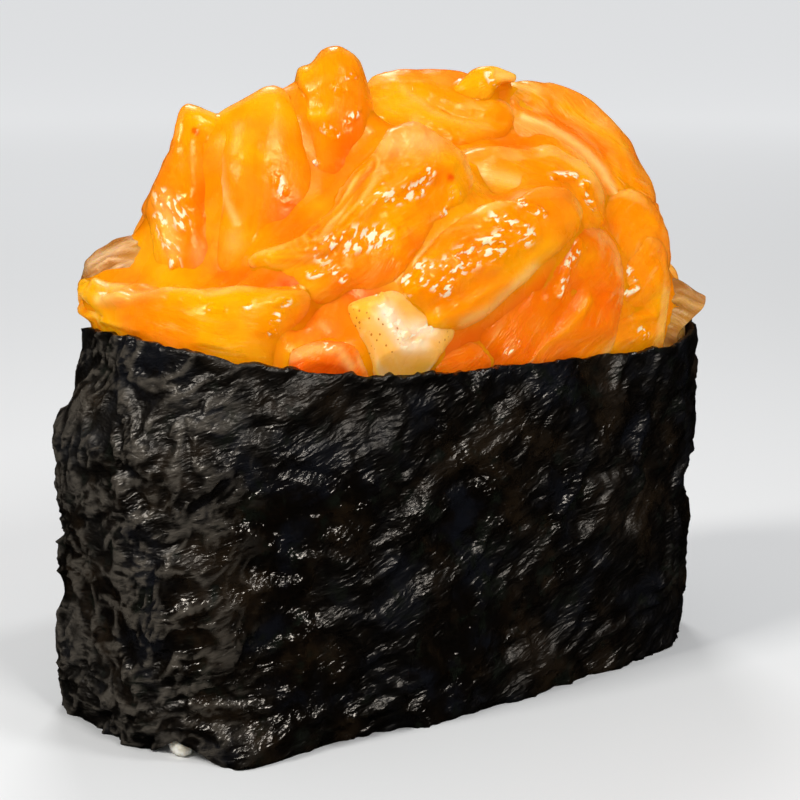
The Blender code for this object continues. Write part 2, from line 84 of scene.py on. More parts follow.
class Slot(Enum):
    """Finish slots of the part."""

    NORI = "nori"
    RICE = "rice"
    SALMON = "salmon"
    DEEP = "salmon_deep"
    PALE = "salmon_pale"
    BROWN = "salmon_brown"


# Noise

def smooth_step(value: Array) -> Array:
    """Ease from 0 to 1 as the value goes from 0 to 1."""
    value = np.clip(value, 0.0, 1.0)
    return value * value * (3.0 - 2.0 * value)


def signed_power(value: Array, power: float) -> Array:
    """Raise to a power and keep the sign."""
    return np.sign(value) * np.abs(value) ** power


def gradient_noise(points: Array, seed: int) -> Array:
    """Smooth noise of about -1 to 1 with one bump a unit.

    Args:
        points: Places, one row each.
        seed: Number that picks the pattern.

    Returns:
        One value for each place.
    """
    base = np.floor(points).astype(np.int64)
    local = points - base
    ease = local ** 3 * (local * (local * 6.0 - 15.0) + 10.0)
    total = np.zeros(len(points))
    for corner in itertools.product((0, 1), repeat=3):
        key = np.bitwise_xor.reduce((base + corner) * CELL_FACTORS, axis=1) ^ (seed * SEED_FACTOR)
        away = local - corner
        dot = np.zeros(len(points))
        for axis in range(3):
            key = (key * STIR_FACTOR + STIR_STEP) & STIR_MASK
            dot += away[:, axis] * ((key >> 8 & 0xFFFF) / 32767.5 - 1.0)
        total += np.prod(np.where(corner, ease, 1.0 - ease), axis=1) * dot
    return total * NOISE_GAIN


def layered_noise(points: Array, seed: int, layers: int) -> Array:
    """Sum of noises, each twice as fine and half as strong as the one before."""
    total = np.zeros(len(points))
    for layer in range(layers):
        total += gradient_noise(points * 2.0 ** layer, seed + 7 * layer) * 0.5 ** layer
    return total


# Meshes and objects

def link_object(name: str, data: bpy.types.ID) -> Thing:
    """Put a mesh, a light or a camera into the scene as an object at the origin."""
    made = bpy.data.objects.new(name, data)
    bpy.context.scene.collection.objects.link(made)
    return made


def mesh_of(name: str, points: Array, faces: list) -> Mesh:
    """Make a mesh from points in millimetres."""
    mesh = bpy.data.meshes.new(name)
    mesh.from_pydata((np.asarray(points) * MM).tolist(), [], faces)
    mesh.update()
    return mesh


def ring_mesh(name: str, rows: list, bottom: float, top: float) -> Mesh:
    """Close a stack of rings with a point at each end.

    Args:
        name: The mesh's name.
        rows: Rings of points from the bottom up, counter-clockwise from above.
        bottom: Height of the lower end point.
        top: Height of the upper end point.

    Returns:
        The closed mesh.
    """
    count = len(rows[0])
    points = np.vstack([*rows, [[0.0, 0.0, bottom]], [[0.0, 0.0, top]]])
    faces = []
    for row in range(len(rows) - 1):
        for side in range(count):
            after = (side + 1) % count
            faces.append((row * count + side, row * count + after, (row + 1) * count + after,
                          (row + 1) * count + side))
    last = (len(rows) - 1) * count
    for side in range(count):
        after = (side + 1) % count
        faces.append((len(points) - 2, after, side))
        faces.append((len(points) - 1, last + side, last + after))
    return mesh_of(name, points, faces)


def joined_copy(name: str, things: list) -> Thing:
    """Join copies of objects' meshes into one new object."""
    points, faces, start = [], [], 0
    for thing in things:
        points.append(read_points(thing.data))
        faces.extend([tuple(corner + start for corner in face.vertices) for face in thing.data.polygons])
        start += len(thing.data.vertices)
    return link_object(name, mesh_of(name, np.vstack(points), faces))


def bake_modifiers(thing: Thing) -> None:
    """Replace an object's mesh by what its modifiers make."""
    graph = bpy.context.evaluated_depsgraph_get()
    mesh = bpy.data.meshes.new_from_object(thing.evaluated_get(graph))
    thing.modifiers.clear()
    thing.data = mesh


def read_points(mesh: Mesh) -> Array:
    """Vertex places of a mesh in millimetres."""
    flat = np.empty(len(mesh.vertices) * 3)
    mesh.vertices.foreach_get("co", flat)
    return flat.reshape(-1, 3) / MM


def read_normals(mesh: Mesh) -> Array:
    """Vertex normals of a mesh."""
    flat = np.empty(len(mesh.vertices) * 3)
    mesh.vertices.foreach_get("normal", flat)
    return flat.reshape(-1, 3)


def write_points(mesh: Mesh, points: Array) -> None:
    """Move a mesh's vertices to places in millimetres."""
    mesh.vertices.foreach_set("co", (points * MM).ravel())
    mesh.update()


def write_values(mesh: Mesh, name: str, values: Array) -> None:
    """Store one number for each vertex under a name."""
    layer = mesh.attributes.new(name, "FLOAT", "POINT")
    layer.data.foreach_set("value", np.asarray(values, dtype=np.float32))


def write_vectors(mesh: Mesh, name: str, vectors: Array) -> None:
    """Store three numbers for each vertex under a name."""
    layer = mesh.attributes.new(name, "FLOAT_VECTOR", "POINT")
    layer.data.foreach_set("vector", np.asarray(vectors, dtype=np.float32).ravel())


def blur_values(mesh: Mesh, values: Array, rounds: int) -> Array:
    """Average values with their neighbours along the mesh's edges, a number of times."""
    pairs = np.empty(len(mesh.edges) * 2, dtype=np.int64)
    mesh.edges.foreach_get("vertices", pairs)
    first, second = pairs.reshape(-1, 2).T
    count = np.bincount(first, minlength=len(values)) + np.bincount(second, minlength=len(values))
    for _ in range(rounds):
        near = (np.bincount(first, values[second], len(values))
                + np.bincount(second, values[first], len(values)))
        values = 0.5 * values + 0.5 * near / np.maximum(count, 1)
    return values


def smooth_skin(thing: Thing, rounds: int) -> None:
    """Even out an object's skin a number of times."""
    thing.modifiers.new("smooth", "SMOOTH").iterations = rounds
    bake_modifiers(thing)


def remesh(thing: Thing, voxel: float, rounds: int) -> None:
    """Turn an object's closed shells into one even skin.

    Args:
        thing: The object to change.
        voxel: Length of the new faces' sides in millimetres.
        rounds: Times that the new skin is smoothed.
    """
    voxels = thing.modifiers.new("voxels", "REMESH")
    voxels.mode = "VOXEL"
    voxels.voxel_size = voxel * MM
    smooth_skin(thing, rounds)


def grow(thing: Thing, distance: float) -> None:
    """Move every vertex of an object out along its normal."""
    write_points(thing.data, read_points(thing.data) + read_normals(thing.data) * distance)


def finish_piece(thing: Thing, material: bpy.types.Material, slot: Slot, *nodes: str) -> None:
    """Give a piece its material, and hide the nodes that it stands for."""
    thing.data.materials.clear()
    thing.data.materials.append(material)
    thing.data.shade_smooth()
    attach(thing, BODY)
    if nodes:
        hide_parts(*nodes)
    triangles = sum(len(face.vertices) - 2 for face in thing.data.polygons)
    log.info("%s: %d triangles", thing.name, triangles)


# Node trees

class Wiring:
    """Short calls that add and link the nodes of one tree."""

    def __init__(self, tree: bpy.types.NodeTree) -> None:
        """Keep the tree."""
        self.tree = tree

    def add(self, kind: str, settings: dict | None = None, **inputs) -> bpy.types.Node:
        """Add a node.

        Args:
            kind: The node's type name.
            settings: The node's own properties by name.
            **inputs: Values or sockets for its inputs, with _ for a space in a name.

        Returns:
            The new node.
        """
        node = self.tree.nodes.new(kind)
        for key, value in (settings or {}).items():
            setattr(node, key, value)
        self.fill(node, **inputs)
        return node

    def fill(self, node: bpy.types.Node, **inputs) -> None:
        """Feed a node's inputs by their names, with _ for a space."""
        for key, value in inputs.items():
            self.feed(node, key.replace("_", " "), value)

    def feed(self, node: bpy.types.Node, name: str | int, value) -> None:
        """Link a socket to a node's input, or set the input to a value."""
        socket = node.inputs[name]
        if isinstance(value, Socket):
            self.tree.links.new(value, socket)
        else:
            socket.default_value = value

    def ordered(self, kind: str, settings: dict, *values) -> bpy.types.Node:
        """Add a node whose inputs are fed in their order."""
        node = self.add(kind, settings)
        for number, value in enumerate(values):
            self.feed(node, number, value)
        return node

    def math(self, operation: str, *values) -> Socket:
        """Add a Math node, and return its result."""
        return self.ordered("ShaderNodeMath", {"operation": operation}, *values).outputs[0]

    def times(self, first, second) -> Socket:
        """Multiply two numbers."""
        return self.math("MULTIPLY", first, second)

    def vector(self, operation: str, *values) -> Socket:
        """Add a Vector Math node, and return its vector."""
        return self.ordered("ShaderNodeVectorMath", {"operation": operation}, *values).outputs["Vector"]

    def length(self, vector: Socket) -> Socket:
        """Length of a vector."""
        return self.ordered("ShaderNodeVectorMath", {"operation": "LENGTH"}, vector).outputs["Value"]

    def scaled(self, vector: Socket, scale) -> Socket:
        """Multiply a vector by a number."""
        node = self.ordered("ShaderNodeVectorMath", {"operation": "SCALE"}, vector)
        self.feed(node, "Scale", scale)
        return node.outputs["Vector"]

    def turned(self, vector: Socket, angle: float) -> Socket:
        """Turn a vector about Y."""
        return self.add("ShaderNodeVectorRotate", {"rotation_type": "AXIS_ANGLE"}, Vector=vector,
                        Axis=(0.0, 1.0, 0.0), Angle=angle).outputs[0]

    def span(self, value, low, high, new_low=0.0, new_high=1.0, smooth: bool = True) -> Socket:
        """Map a value from one span to another, held at its ends."""
        settings = {"interpolation_type": "SMOOTHSTEP" if smooth else "LINEAR", "clamp": True}
        return self.ordered("ShaderNodeMapRange", settings, value, low, high, new_low, new_high).outputs[0]

    def mix(self, share, first, second) -> Socket:
        """Mix two colours by a share."""
        node = self.ordered("ShaderNodeMix", {"data_type": "RGBA"}, share)
        self.feed(node, 6, first)
        self.feed(node, 7, second)
        return node.outputs[2]

    def noise(self, place, scale, detail: float, roughness: float = 0.5) -> Socket:
        """Add a Noise Texture, and return its grey value."""
        return self.add("ShaderNodeTexNoise", Vector=place, Scale=scale, Detail=detail,
                        Roughness=roughness).outputs[0]

    def object_place(self) -> Socket:
        """Place on the piece, in metres."""
        return self.add("ShaderNodeTexCoord").outputs["Object"]

    def vector_of(self, name: str) -> Socket:
        """Read a piece's own vectors by their name."""
        return self.add("ShaderNodeAttribute", {"attribute_name": name}).outputs["Vector"]

    def value_of(self, name: str) -> Socket:
        """Read a piece's own values by their name."""
        return self.add("ShaderNodeAttribute", {"attribute_name": name}).outputs["Fac"]

    def kept(self, name: str) -> Socket:
        """Read the values that a geometry keeps under a name."""
        return self.add("GeometryNodeInputNamedAttribute", {"data_type": "FLOAT"}, Name=name).outputs[0]

    def keep(self, geometry: Socket, values: dict) -> Socket:
        """Keep values on a geometry's vertices under their names."""
        for name, value in values.items():
            geometry = self.add("GeometryNodeStoreNamedAttribute", {"data_type": "FLOAT", "domain": "POINT"},
                                Geometry=geometry, Name=name, Value=value).outputs[0]
        return geometry


@dataclass
class Recipe:
    """A geometry tree with named inputs, run once on an object."""

    name: str
    inputs: dict

    def __post_init__(self) -> None:
        """Start the tree with a geometry input and output."""
        self.tree = bpy.data.node_groups.new(self.name, "GeometryNodeTree")
        self.wires = Wiring(self.tree)
        for way in ("INPUT", "OUTPUT"):
            self.tree.interface.new_socket("Geometry", in_out=way, socket_type="NodeSocketGeometry")
        kinds = {float: "NodeSocketFloat", int: "NodeSocketInt", bpy.types.Material: "NodeSocketMaterial"}
        self.keys = {label: self.tree.interface.new_socket(
            label, in_out="INPUT", socket_type=kinds[type(value)]).identifier
            for label, value in self.inputs.items()}
        self.source = self.wires.add("NodeGroupInput")

    def __getitem__(self, label: str) -> Socket:
        """Socket of a named input."""
        return self.source.outputs[label]

    def run(self, thing: Thing, geometry: Socket) -> None:
        """End the tree with real faces in one material, and turn the object into its result."""
        real = self.wires.add("GeometryNodeRealizeInstances", Geometry=geometry)
        painted = self.wires.add("GeometryNodeSetMaterial", Geometry=real.outputs[0],
                                 Material=self["Material"])
        self.wires.add("NodeGroupOutput", Geometry=painted.outputs[0])
        modifier = thing.modifiers.new(self.name, "NODES")
        modifier.node_group = self.tree
        for label, key in self.keys.items():
            modifier[key] = self.inputs[label]
        bake_modifiers(thing)


def start_material(name: str) -> tuple:
    """Start a material, and return it with its wiring and its Principled shader."""
    material = bpy.data.materials.new(name)
    material.use_nodes = True
    return material, Wiring(material.node_tree), material.node_tree.nodes["Principled BSDF"]


def crease_lines() -> bpy.types.NodeTree:
    """Group that gives sharp branching creases as heights from 0 to 1, at any size."""
    made = bpy.data.node_groups.new("crease_lines", "ShaderNodeTree")
    made.interface.new_socket("Vector", in_out="INPUT", socket_type="NodeSocketVector")
    for label in ("Scale", "Swirl", "Sharpness"):
        made.interface.new_socket(label, in_out="INPUT", socket_type="NodeSocketFloat")
    made.interface.new_socket("Height", in_out="OUTPUT", socket_type="NodeSocketFloat")
    wires = Wiring(made)
    source = wires.add("NodeGroupInput").outputs
    warp = wires.add("ShaderNodeTexNoise", Vector=source["Vector"], Detail=2.0,
                     Scale=wires.times(source["Scale"], 0.3))
    bent = wires.vector("SUBTRACT", warp.outputs["Color"], (0.5, 0.5, 0.5))
    bent = wires.scaled(bent, wires.math("DIVIDE", source["Swirl"], source["Scale"]))
    bent = wires.vector("ADD", source["Vector"], bent)
    away = wires.math("SUBTRACT", wires.noise(bent, source["Scale"], 3.0, 0.55), 0.5)
    away = wires.math("ABSOLUTE", away)
    height = wires.math("SUBTRACT", 1.0, wires.times(away, source["Sharpness"]))
    wires.add("NodeGroupOutput", Height=wires.math("MAXIMUM", height, 0.0))
    return made


# The band of nori

@dataclass(frozen=True)
class BandShape:
    """The oval band: its plan, rim and foot, and how far each stands in."""

    length: float = 62.0
    width: float = 30.5
    height: float = 31.5
    squareness: float = 3.2
    thickness: float = 0.5
    gap: float = 0.3
    crinkle_room: float = 0.12
    lap: float = 20.0
    lap_ramp: float = 12.0
    lap_zone: float = 24.0
    lap_zone_edge: float = 3.0
    wrinkle_depth: float = 0.35
    rim_clear: float = 0.1
    rim_waves: tuple = ((1, -1.4, 0.55), (2, 0.9, 0.5))
    wrinkles: tuple = ((7, 0.16, 0.5), (12, -0.24, 0.3), (19, 0.33, 0.2))
    end_taper: float = 2.6
    taper_power: float = 1.5
    taper_start: float = 24.0
    foot_tuck: float = 0.5
    foot_height: float = 4.0
    flare_place: float = 0.600
    flare_width: float = 0.026
    flare_depth: float = 2.0
    lift_place: float = 0.560
    lift_width: float = 0.013
    lift_height: float = 1.5
    steps: int = 4001

    def oval(self, angle: Array, inset: Array) -> tuple:
        """Point of the oval plan, drawn in by the inset."""
        power = 2.0 / self.squareness
        return ((self.length / 2 - inset) * signed_power(np.cos(angle), power),
                (self.width / 2 - inset) * signed_power(np.sin(angle), power))

    def reach(self) -> tuple:
        """Angles, the share of the way round that each reaches, and the length of the way round."""
        angles = np.linspace(0.0, 2.0 * math.pi, self.steps)
        x, y = self.oval(angles, 0.0)
        length = np.concatenate([[0.0], np.cumsum(np.hypot(np.diff(x), np.diff(y)))])
        return angles, length / length[-1], length[-1]

    def plan_angle(self, share: Array) -> Array:
        """Oval angle at a share of the way round."""
        angles, shares, _ = self.reach()
        return np.interp(np.mod(share, 1.0), shares, angles)

    def share_at(self, x: Array, y: Array) -> Array:
        """Share of the way round that lies outwards from a point."""
        angles, shares, _ = self.reach()
        power = self.squareness / 2.0
        angle = np.arctan2(signed_power(y / self.width, power), signed_power(x / self.length, power))
        return np.interp(np.mod(angle, 2.0 * math.pi), angles, shares)

    def rim_height(self, share: Array) -> Array:
        """Height of the upper edge."""
        angle = self.plan_angle(share)
        height = self.height
        for waves, cosine, sine in self.rim_waves:
            height = height + cosine * np.cos(waves * angle) + sine * np.sin(waves * angle)
        return height

    def bump(self, share: Array, place: float, width: float) -> Array:
        """A smooth bump of height 1 at a place round the band."""
        away = (np.mod(share - place + 0.5, 1.0) - 0.5) / width
        return np.exp(-away * away)

    def foot_lift(self, share: Array) -> Array:
        """Height of the lower edge."""
        return self.lift_height * self.bump(share, self.lift_place, self.lift_width)

    def tuck(self, share: Array) -> Array:
        """How far the foot stands in."""
        end = np.cos(self.plan_angle(share)) ** 2
        flare = self.flare_depth * self.bump(share, self.flare_place, self.flare_width)
        return self.foot_tuck * (0.5 + 0.5 * end) - flare

    def taper(self, share: Array) -> Array:
        """How far the top stands in."""
        return self.end_taper * np.clip(-np.cos(self.plan_angle(share)), 0.0, 1.0) ** self.taper_power

    def inset(self, share: Array, height: Array) -> Array:
        """How far the band stands in at a height."""
        top = smooth_step((height - self.taper_start) / (self.height - self.taper_start))
        return self.tuck(share) * smooth_step(1.0 - height / self.foot_height) + self.taper(share) * top

    def wrinkle(self, share: Array, height: Array) -> Array:
        """Low folds of the band, outwards."""
        total = 0.0
        for waves, twist, part in self.wrinkles:
            total = total + part * np.sin(2.0 * math.pi * waves * share + twist * height + waves)
        return self.wrinkle_depth * total

    def lap_cover(self, share: Array) -> Array:
        """How much further in the band's inner face stands where its ends lap."""
        x, y = self.oval(self.plan_angle(share), 0.0)
        zone = np.where(y > 0.0, 1.0 - smooth_step((np.abs(x) - self.lap_zone) / self.lap_zone_edge), 0.0)
        return zone * (self.thickness + self.gap)

    def inner_limit(self, share: Array, height: Array) -> Array:
        """Inset at which a filling stays clear of the band and of its lap at the back."""
        clear = self.thickness + self.wrinkle_depth + self.gap + self.lap_cover(share)
        return self.inset(share, height) + clear

    def wall(self, share: Array, height: Array) -> Array:
        """Inset at which a soft filling presses against the band."""
        pressed = self.thickness + self.crinkle_room + self.lap_cover(share) - self.wrinkle(share, height)
        return self.inset(share, height) + pressed

    def oval_share(self, points: Array, inset: Array) -> Array:
        """How far out each point stands, as a share of the oval drawn in by the inset."""
        power = self.squareness
        return (np.abs(points[:, 0] / (self.length / 2 - inset)) ** power
                + np.abs(points[:, 1] / (self.width / 2 - inset)) ** power) ** (1.0 / power)

    def hold_in(self, points: Array, overhang: float, rise: float) -> Array:
        """Keep points inside the band up to its rim, and let them lean out above it.

        Args:
            points: Places in millimetres.
            overhang: How far beyond the band a point may stand above the rim.
            rise: Height above the rim at which it may.

        Returns:
            The moved places.
        """
        x, y, z = points.T
        share = self.share_at(x, y)
        above = smooth_step((z - self.rim_height(share) - self.rim_clear) / rise)
        inset = self.wall(share, np.minimum(z, self.height)) * (1.0 - above) - overhang * above
        over = np.maximum(self.oval_share(points, inset), 1.0)
        return np.column_stack([x / over, y / over, z])


@dataclass(frozen=True)
class NoriFinish:
    """Dark toasted seaweed: near black with tints, glossy in patches and matte at the left end, whose ridges
    carry a pale grey that is partly painted light.
    """

    black: tuple = (0.0026, 0.0017, 0.0010, 1.0)
    brown: tuple = (0.0125, 0.0075, 0.0036, 1.0)
    green: tuple = (0.0050, 0.0062, 0.0040, 1.0)
    blue: tuple = (0.0045, 0.0050, 0.0072, 1.0)
    # Pale grey on the left end's ridges: partly the dry side's own grey, partly painted light.
    ash_and_sheen: tuple = (0.060, 0.051, 0.040, 1.0)
    creases: tuple = ((460.0, 1.8, 0.70), (1050.0, 1.4, 0.34))
    crease_sharpness: float = 5.0
    crease_tilt: float = math.radians(22.0)
    crease_stretch: tuple = (0.42, 0.42, 1.2)
    tint_scale: float = 170.0
    brown_tint: tuple = (0.5, 0.68)
    blue_tint: tuple = (0.5, 0.34)
    hue_scale: float = 420.0
    green_hue: tuple = (0.55, 0.7)
    flake_ridge: tuple = (0.5, 0.95)
    thread_line: tuple = (0.2, 0.85, 0.05, 1.0)
    patch_scale: float = 120.0
    patch_edge: tuple = (0.38, 0.62)
    grain_scale: float = 2600.0
    grain_share: float = 0.035
    wet_place: tuple = (-0.015, -0.014, 0.0125)
    wet_reach: tuple = (0.017, 0.013, 0.010)
    wet_edge: tuple = (0.8, 1.5)
    dry: float = 0.10
    end_dry: float = 0.06
    gloss: float = 0.14
    matte: float = 0.34
    driest: float = 0.85
    bump: float = 0.9
    bump_height: float = 0.00022
    specular: float = 0.5
    sheen: tuple = (1.0, 0.93, 0.85, 1.0)

    def material(self) -> bpy.types.Material:
        """Build the material."""
        material, wires, shader = start_material("nori")
        place = wires.object_place()
        tint = wires.noise(place, self.tint_scale, 4.0, 0.6)
        colour = wires.mix(wires.span(tint, *self.brown_tint), self.black, self.brown)
        colour = wires.mix(wires.span(tint, *self.blue_tint), colour, self.blue)
        hue = wires.noise(place, self.hue_scale, 3.0, 0.6)
        colour = wires.mix(wires.span(hue, *self.green_hue), colour, self.green)
        end = wires.value_of("left_end")
        height, thread = self.crinkle(wires, place)
        flake = wires.span(wires.value_of("ridge"), *self.flake_ridge)
        # Pale grey on the left end's ridges, partly painted light where the key lamp falls on that end.
        ash_and_sheen = wires.times(wires.times(end, thread), flake)
        patch = wires.noise(place, self.patch_scale, 5.0, 0.65)
        rough = wires.span(patch, *self.patch_edge, self.gloss, self.matte)
        rough = wires.math("ADD", rough, wires.times(end, self.end_dry))
        aside = wires.vector("DIVIDE", wires.vector("SUBTRACT", place, self.wet_place), self.wet_reach)
        rough = wires.math("ADD", rough, wires.span(wires.length(aside), *self.wet_edge, 0.0, self.dry))
        bump = wires.add("ShaderNodeBump", Strength=self.bump, Distance=self.bump_height, Height=height)
        wires.fill(shader, Base_Color=wires.mix(ash_and_sheen, colour, self.ash_and_sheen), Normal=bump.outputs[0],
                   Roughness=wires.math("MINIMUM", rough, self.driest),
                   Specular_IOR_Level=self.specular, Specular_Tint=self.sheen)
        return material

    def crinkle(self, wires: Wiring, place: Socket) -> tuple:
        """Fine creases and grain as a height, and the thin threads that carry the left end's pale grey,
        partly painted light.
        """
        drawn = wires.vector("MULTIPLY", wires.turned(place, self.crease_tilt), self.crease_stretch)
        group = crease_lines()
        height = 0.0
        for scale, swirl, share in self.creases:
            lines = wires.add("ShaderNodeGroup", {"node_tree": group}, Vector=drawn, Scale=scale, Swirl=swirl,
                              Sharpness=self.crease_sharpness).outputs[0]
            height = wires.math("MULTIPLY_ADD", lines, share, height)
        grain = wires.noise(place, self.grain_scale, 2.0, 0.6)
        height = wires.math("MULTIPLY_ADD", grain, self.grain_share, height)
        return height, wires.span(lines, *self.thread_line)


@dataclass
class NoriBand:
    """The band: one strip that follows the oval, crinkled by nodes, its outer end lapped at the back."""

    shape: BandShape
    finish: NoriFinish = NoriFinish()
    columns: int = 600
    rows: int = 80
    path_points: int = 900
    crinkle_depth: float = 0.85
    crinkle_size: float = 6.0
    crinkle_tilt: float = math.radians(26.0)
    crinkle_stretch: tuple = (0.55, 0.7, 1.15)
    crinkle_wander: float = 16.0
    warp_scale: float = 90.0
    crease_patch_scale: float = 70.0
    crease_patch: tuple = (0.36, 0.60, 0.45, 1.2)
    crinkle_middle: float = 0.45
    crease_middle: float = 0.4
    crease_depth: float = 0.50
    crease_size: float = 2.3
    ridge_width: float = 0.20
    ridge_power: float = 1.3
    notches: tuple = ((1.0, 0.22, 31), (3.1, 0.14, 33))
    notch_size: float = 3.0
    lap_middle: float = 0.25
    left_end_start: float = 22.0
    left_end_length: float = 7.0
    seed: int = 5

    def path(self) -> Thing:
        """The strip's way round, with what the strip needs at each place on it."""
        shape = self.shape
        _, _, perimeter = shape.reach()
        lap_share = shape.lap / perimeter
        run = np.linspace(0.0, 1.0 + lap_share, self.path_points)
        share = self.lap_middle - lap_share / 2 + run
        tucked = 1.0 - smooth_step((run * perimeter - shape.lap) / shape.lap_ramp)
        angle = shape.plan_angle(share)
        x, y = shape.oval(angle, 0.0)
        edges = [(number, number + 1) for number in range(self.path_points - 1)]
        mesh = bpy.data.meshes.new("nori")
        mesh.from_pydata((np.column_stack([x, y, np.zeros_like(x)]) * MM).tolist(), edges, [])
        outer_x, outer_y = shape.oval(angle, -1.0)
        aside = np.column_stack([outer_x - x, outer_y - y])
        values = {
            "share": share,
            "foot": shape.foot_lift(share) * MM,
            "rim": (shape.rim_height(share) + self.ragged(share)) * MM,
            "tuck": shape.tuck(share) * MM,
            "taper": shape.taper(share) * MM,
            "lap_in": tucked * (shape.thickness + shape.gap) * MM,
            "out_x": aside[:, 0],
            "out_y": aside[:, 1],
            "left_end": smooth_step((-x - self.left_end_start) / self.left_end_length),
        }
        for name, value in values.items():
            write_values(mesh, name, value)
        return link_object("nori_band", mesh)

    def ragged(self, share: Array) -> Array:
        """Small notches and waves of the rim."""
        _, _, perimeter = self.shape.reach()
        flat = np.outer(share * perimeter / self.notch_size, (1.0, 0.0, 0.0))
        return sum(depth * gradient_noise(flat * fineness, seed) for fineness, depth, seed in self.notches)

    def build(self) -> Thing:
        """Make the strip and give it its thickness."""
        shape = self.shape
        thing = self.path()
        recipe = Recipe("nori_strip", {
            "Columns": self.columns,
            "Rows": self.rows,
            "Foot Height": shape.foot_height * MM,
            "Taper Start": shape.taper_start * MM,
            "Band Height": shape.height * MM,
            "Wrinkle Depth": shape.wrinkle_depth * MM,
            "Crinkle Depth": self.crinkle_depth * MM,
            "Crinkle Size": self.crinkle_size * MM,
            "Crease Depth": self.crease_depth * MM,
            "Crease Size": self.crease_size * MM,
            "Seed": float(self.seed),
            "Material": self.finish.material(),
        })
        wires = recipe.wires
        grid = wires.add("GeometryNodeMeshGrid", Size_X=1.0, Size_Y=1.0, Vertices_X=recipe["Columns"],
                         Vertices_Y=recipe["Rows"])
        spot = wires.add("GeometryNodeInputPosition")
        parts = wires.add("ShaderNodeSeparateXYZ", Vector=spot.outputs[0])
        strip = wires.keep(grid.outputs["Mesh"], {
            "along": wires.math("ADD", parts.outputs[0], 0.5),
            "up": wires.math("ADD", parts.outputs[1], 0.5),
        })
        way = wires.add("GeometryNodeMeshToCurve", Mesh=recipe["Geometry"]).outputs[0]
        factor = wires.kept("along")
        up = wires.kept("up")

        def sampled(name: str) -> Socket:
            """What the path holds under a name, at the strip's place."""
            return wires.add("GeometryNodeSampleCurve", {"mode": "FACTOR", "data_type": "FLOAT"}, Curves=way,
                             Value=wires.kept(name), Factor=factor).outputs["Value"]

        centre = wires.add("GeometryNodeSampleCurve", {"mode": "FACTOR"}, Curves=way, Factor=factor)
        height = wires.math("ADD", wires.times(sampled("rim"), up),
                            wires.times(sampled("foot"), wires.math("SUBTRACT", 1.0, up)))
        foot = wires.span(height, 0.0, recipe["Foot Height"], 1.0, 0.0)
        top = wires.span(height, recipe["Taper Start"], recipe["Band Height"])
        inset = wires.math("ADD", wires.times(sampled("tuck"), foot), wires.times(sampled("taper"), top))
        inset = wires.math("ADD", inset, sampled("lap_in"))
        waved = 0.0
        share = sampled("share")
        for waves, twist, part in shape.wrinkles:
            turn = wires.times(share, 2.0 * math.pi * waves)
            turn = wires.math("ADD", turn, wires.times(height, twist / MM))
            sine = wires.math("SINE", wires.math("ADD", turn, float(waves)))
            waved = wires.math("ADD", waved, wires.times(sine, part))
        inset = wires.math("SUBTRACT", inset, wires.times(waved, recipe["Wrinkle Depth"]))
        aside = wires.add("ShaderNodeCombineXYZ", X=sampled("out_x"), Y=sampled("out_y"))
        lifted = wires.add("ShaderNodeCombineXYZ", Z=height)
        place = wires.vector("ADD", centre.outputs["Position"], lifted.outputs[0])
        place = wires.vector("SUBTRACT", place, wires.scaled(aside.outputs[0], inset))
        strip = wires.add("GeometryNodeSetPosition", Geometry=strip, Position=place).outputs[0]
        crinkle, ridge = self.crinkles(wires, recipe)
        strip = wires.keep(strip, {"ridge": ridge, "left_end": sampled("left_end")})
        normal = wires.scaled(wires.add("GeometryNodeInputNormal").outputs[0], crinkle)
        strip = wires.add("GeometryNodeSetPosition", Geometry=strip, Offset=normal).outputs[0]
        recipe.run(thing, strip)
        solid = thing.modifiers.new("thickness", "SOLIDIFY")
        solid.thickness = shape.thickness * MM
        solid.offset = -1.0
        solid.use_even_offset = False
        bake_modifiers(thing)
        points = read_points(thing.data)
        points[:, 2] = np.maximum(points[:, 2], 0.0)
        write_points(thing.data, points)
        finish_piece(thing, recipe.inputs["Material"], Slot.NORI, "nori")
        return thing

    def crinkles(self, wires: Wiring, recipe: Recipe) -> tuple:
        """Creases of the sheet as a depth, and how far each place is on a ridge."""
        spot = wires.add("GeometryNodeInputPosition").outputs[0]

        def seeded(place: Socket, **inputs) -> bpy.types.Node:
            """Noise that follows the sheet's seed."""
            return wires.add("ShaderNodeTexNoise", {"noise_dimensions": "4D"}, Vector=place, W=recipe["Seed"],
                             **inputs)

        warp = seeded(spot, Scale=self.warp_scale, Detail=2.0).outputs["Color"]
        wander = wires.scaled(wires.vector("SUBTRACT", warp, (0.5, 0.5, 0.5)), self.crinkle_wander * MM)
        tilted = wires.turned(wires.vector("ADD", spot, wander), self.crinkle_tilt)
        drawn = wires.vector("MULTIPLY", tilted, self.crinkle_stretch)

        def ridges(label: str, detail: float, swirl: float) -> Socket:
            """Ridges from 0 to 1 at the named size."""
            made = seeded(drawn, Scale=wires.math("DIVIDE", 1.0, recipe[label]), Detail=detail, Roughness=0.5,
                          Distortion=swirl)
            away = wires.math("ABSOLUTE", wires.math("SUBTRACT", made.outputs[0], 0.5))
            ridge = wires.span(away, 0.0, self.ridge_width, 1.0, 0.0, smooth=False)
            return wires.math("POWER", ridge, self.ridge_power)

        strength = seeded(spot, Scale=self.crease_patch_scale, Detail=1.0).outputs[0]
        much = wires.span(strength, *self.crease_patch)
        fold = ridges("Crinkle Size", 1.0, 0.5)
        crease = ridges("Crease Size", 1.5, 0.7)
        coarse = wires.times(wires.math("SUBTRACT", fold, self.crinkle_middle), recipe["Crinkle Depth"])
        fine = wires.times(wires.math("SUBTRACT", crease, self.crease_middle), recipe["Crease Depth"])
        return wires.math("ADD", coarse, wires.times(fine, much)), crease


# Looks of the salmon

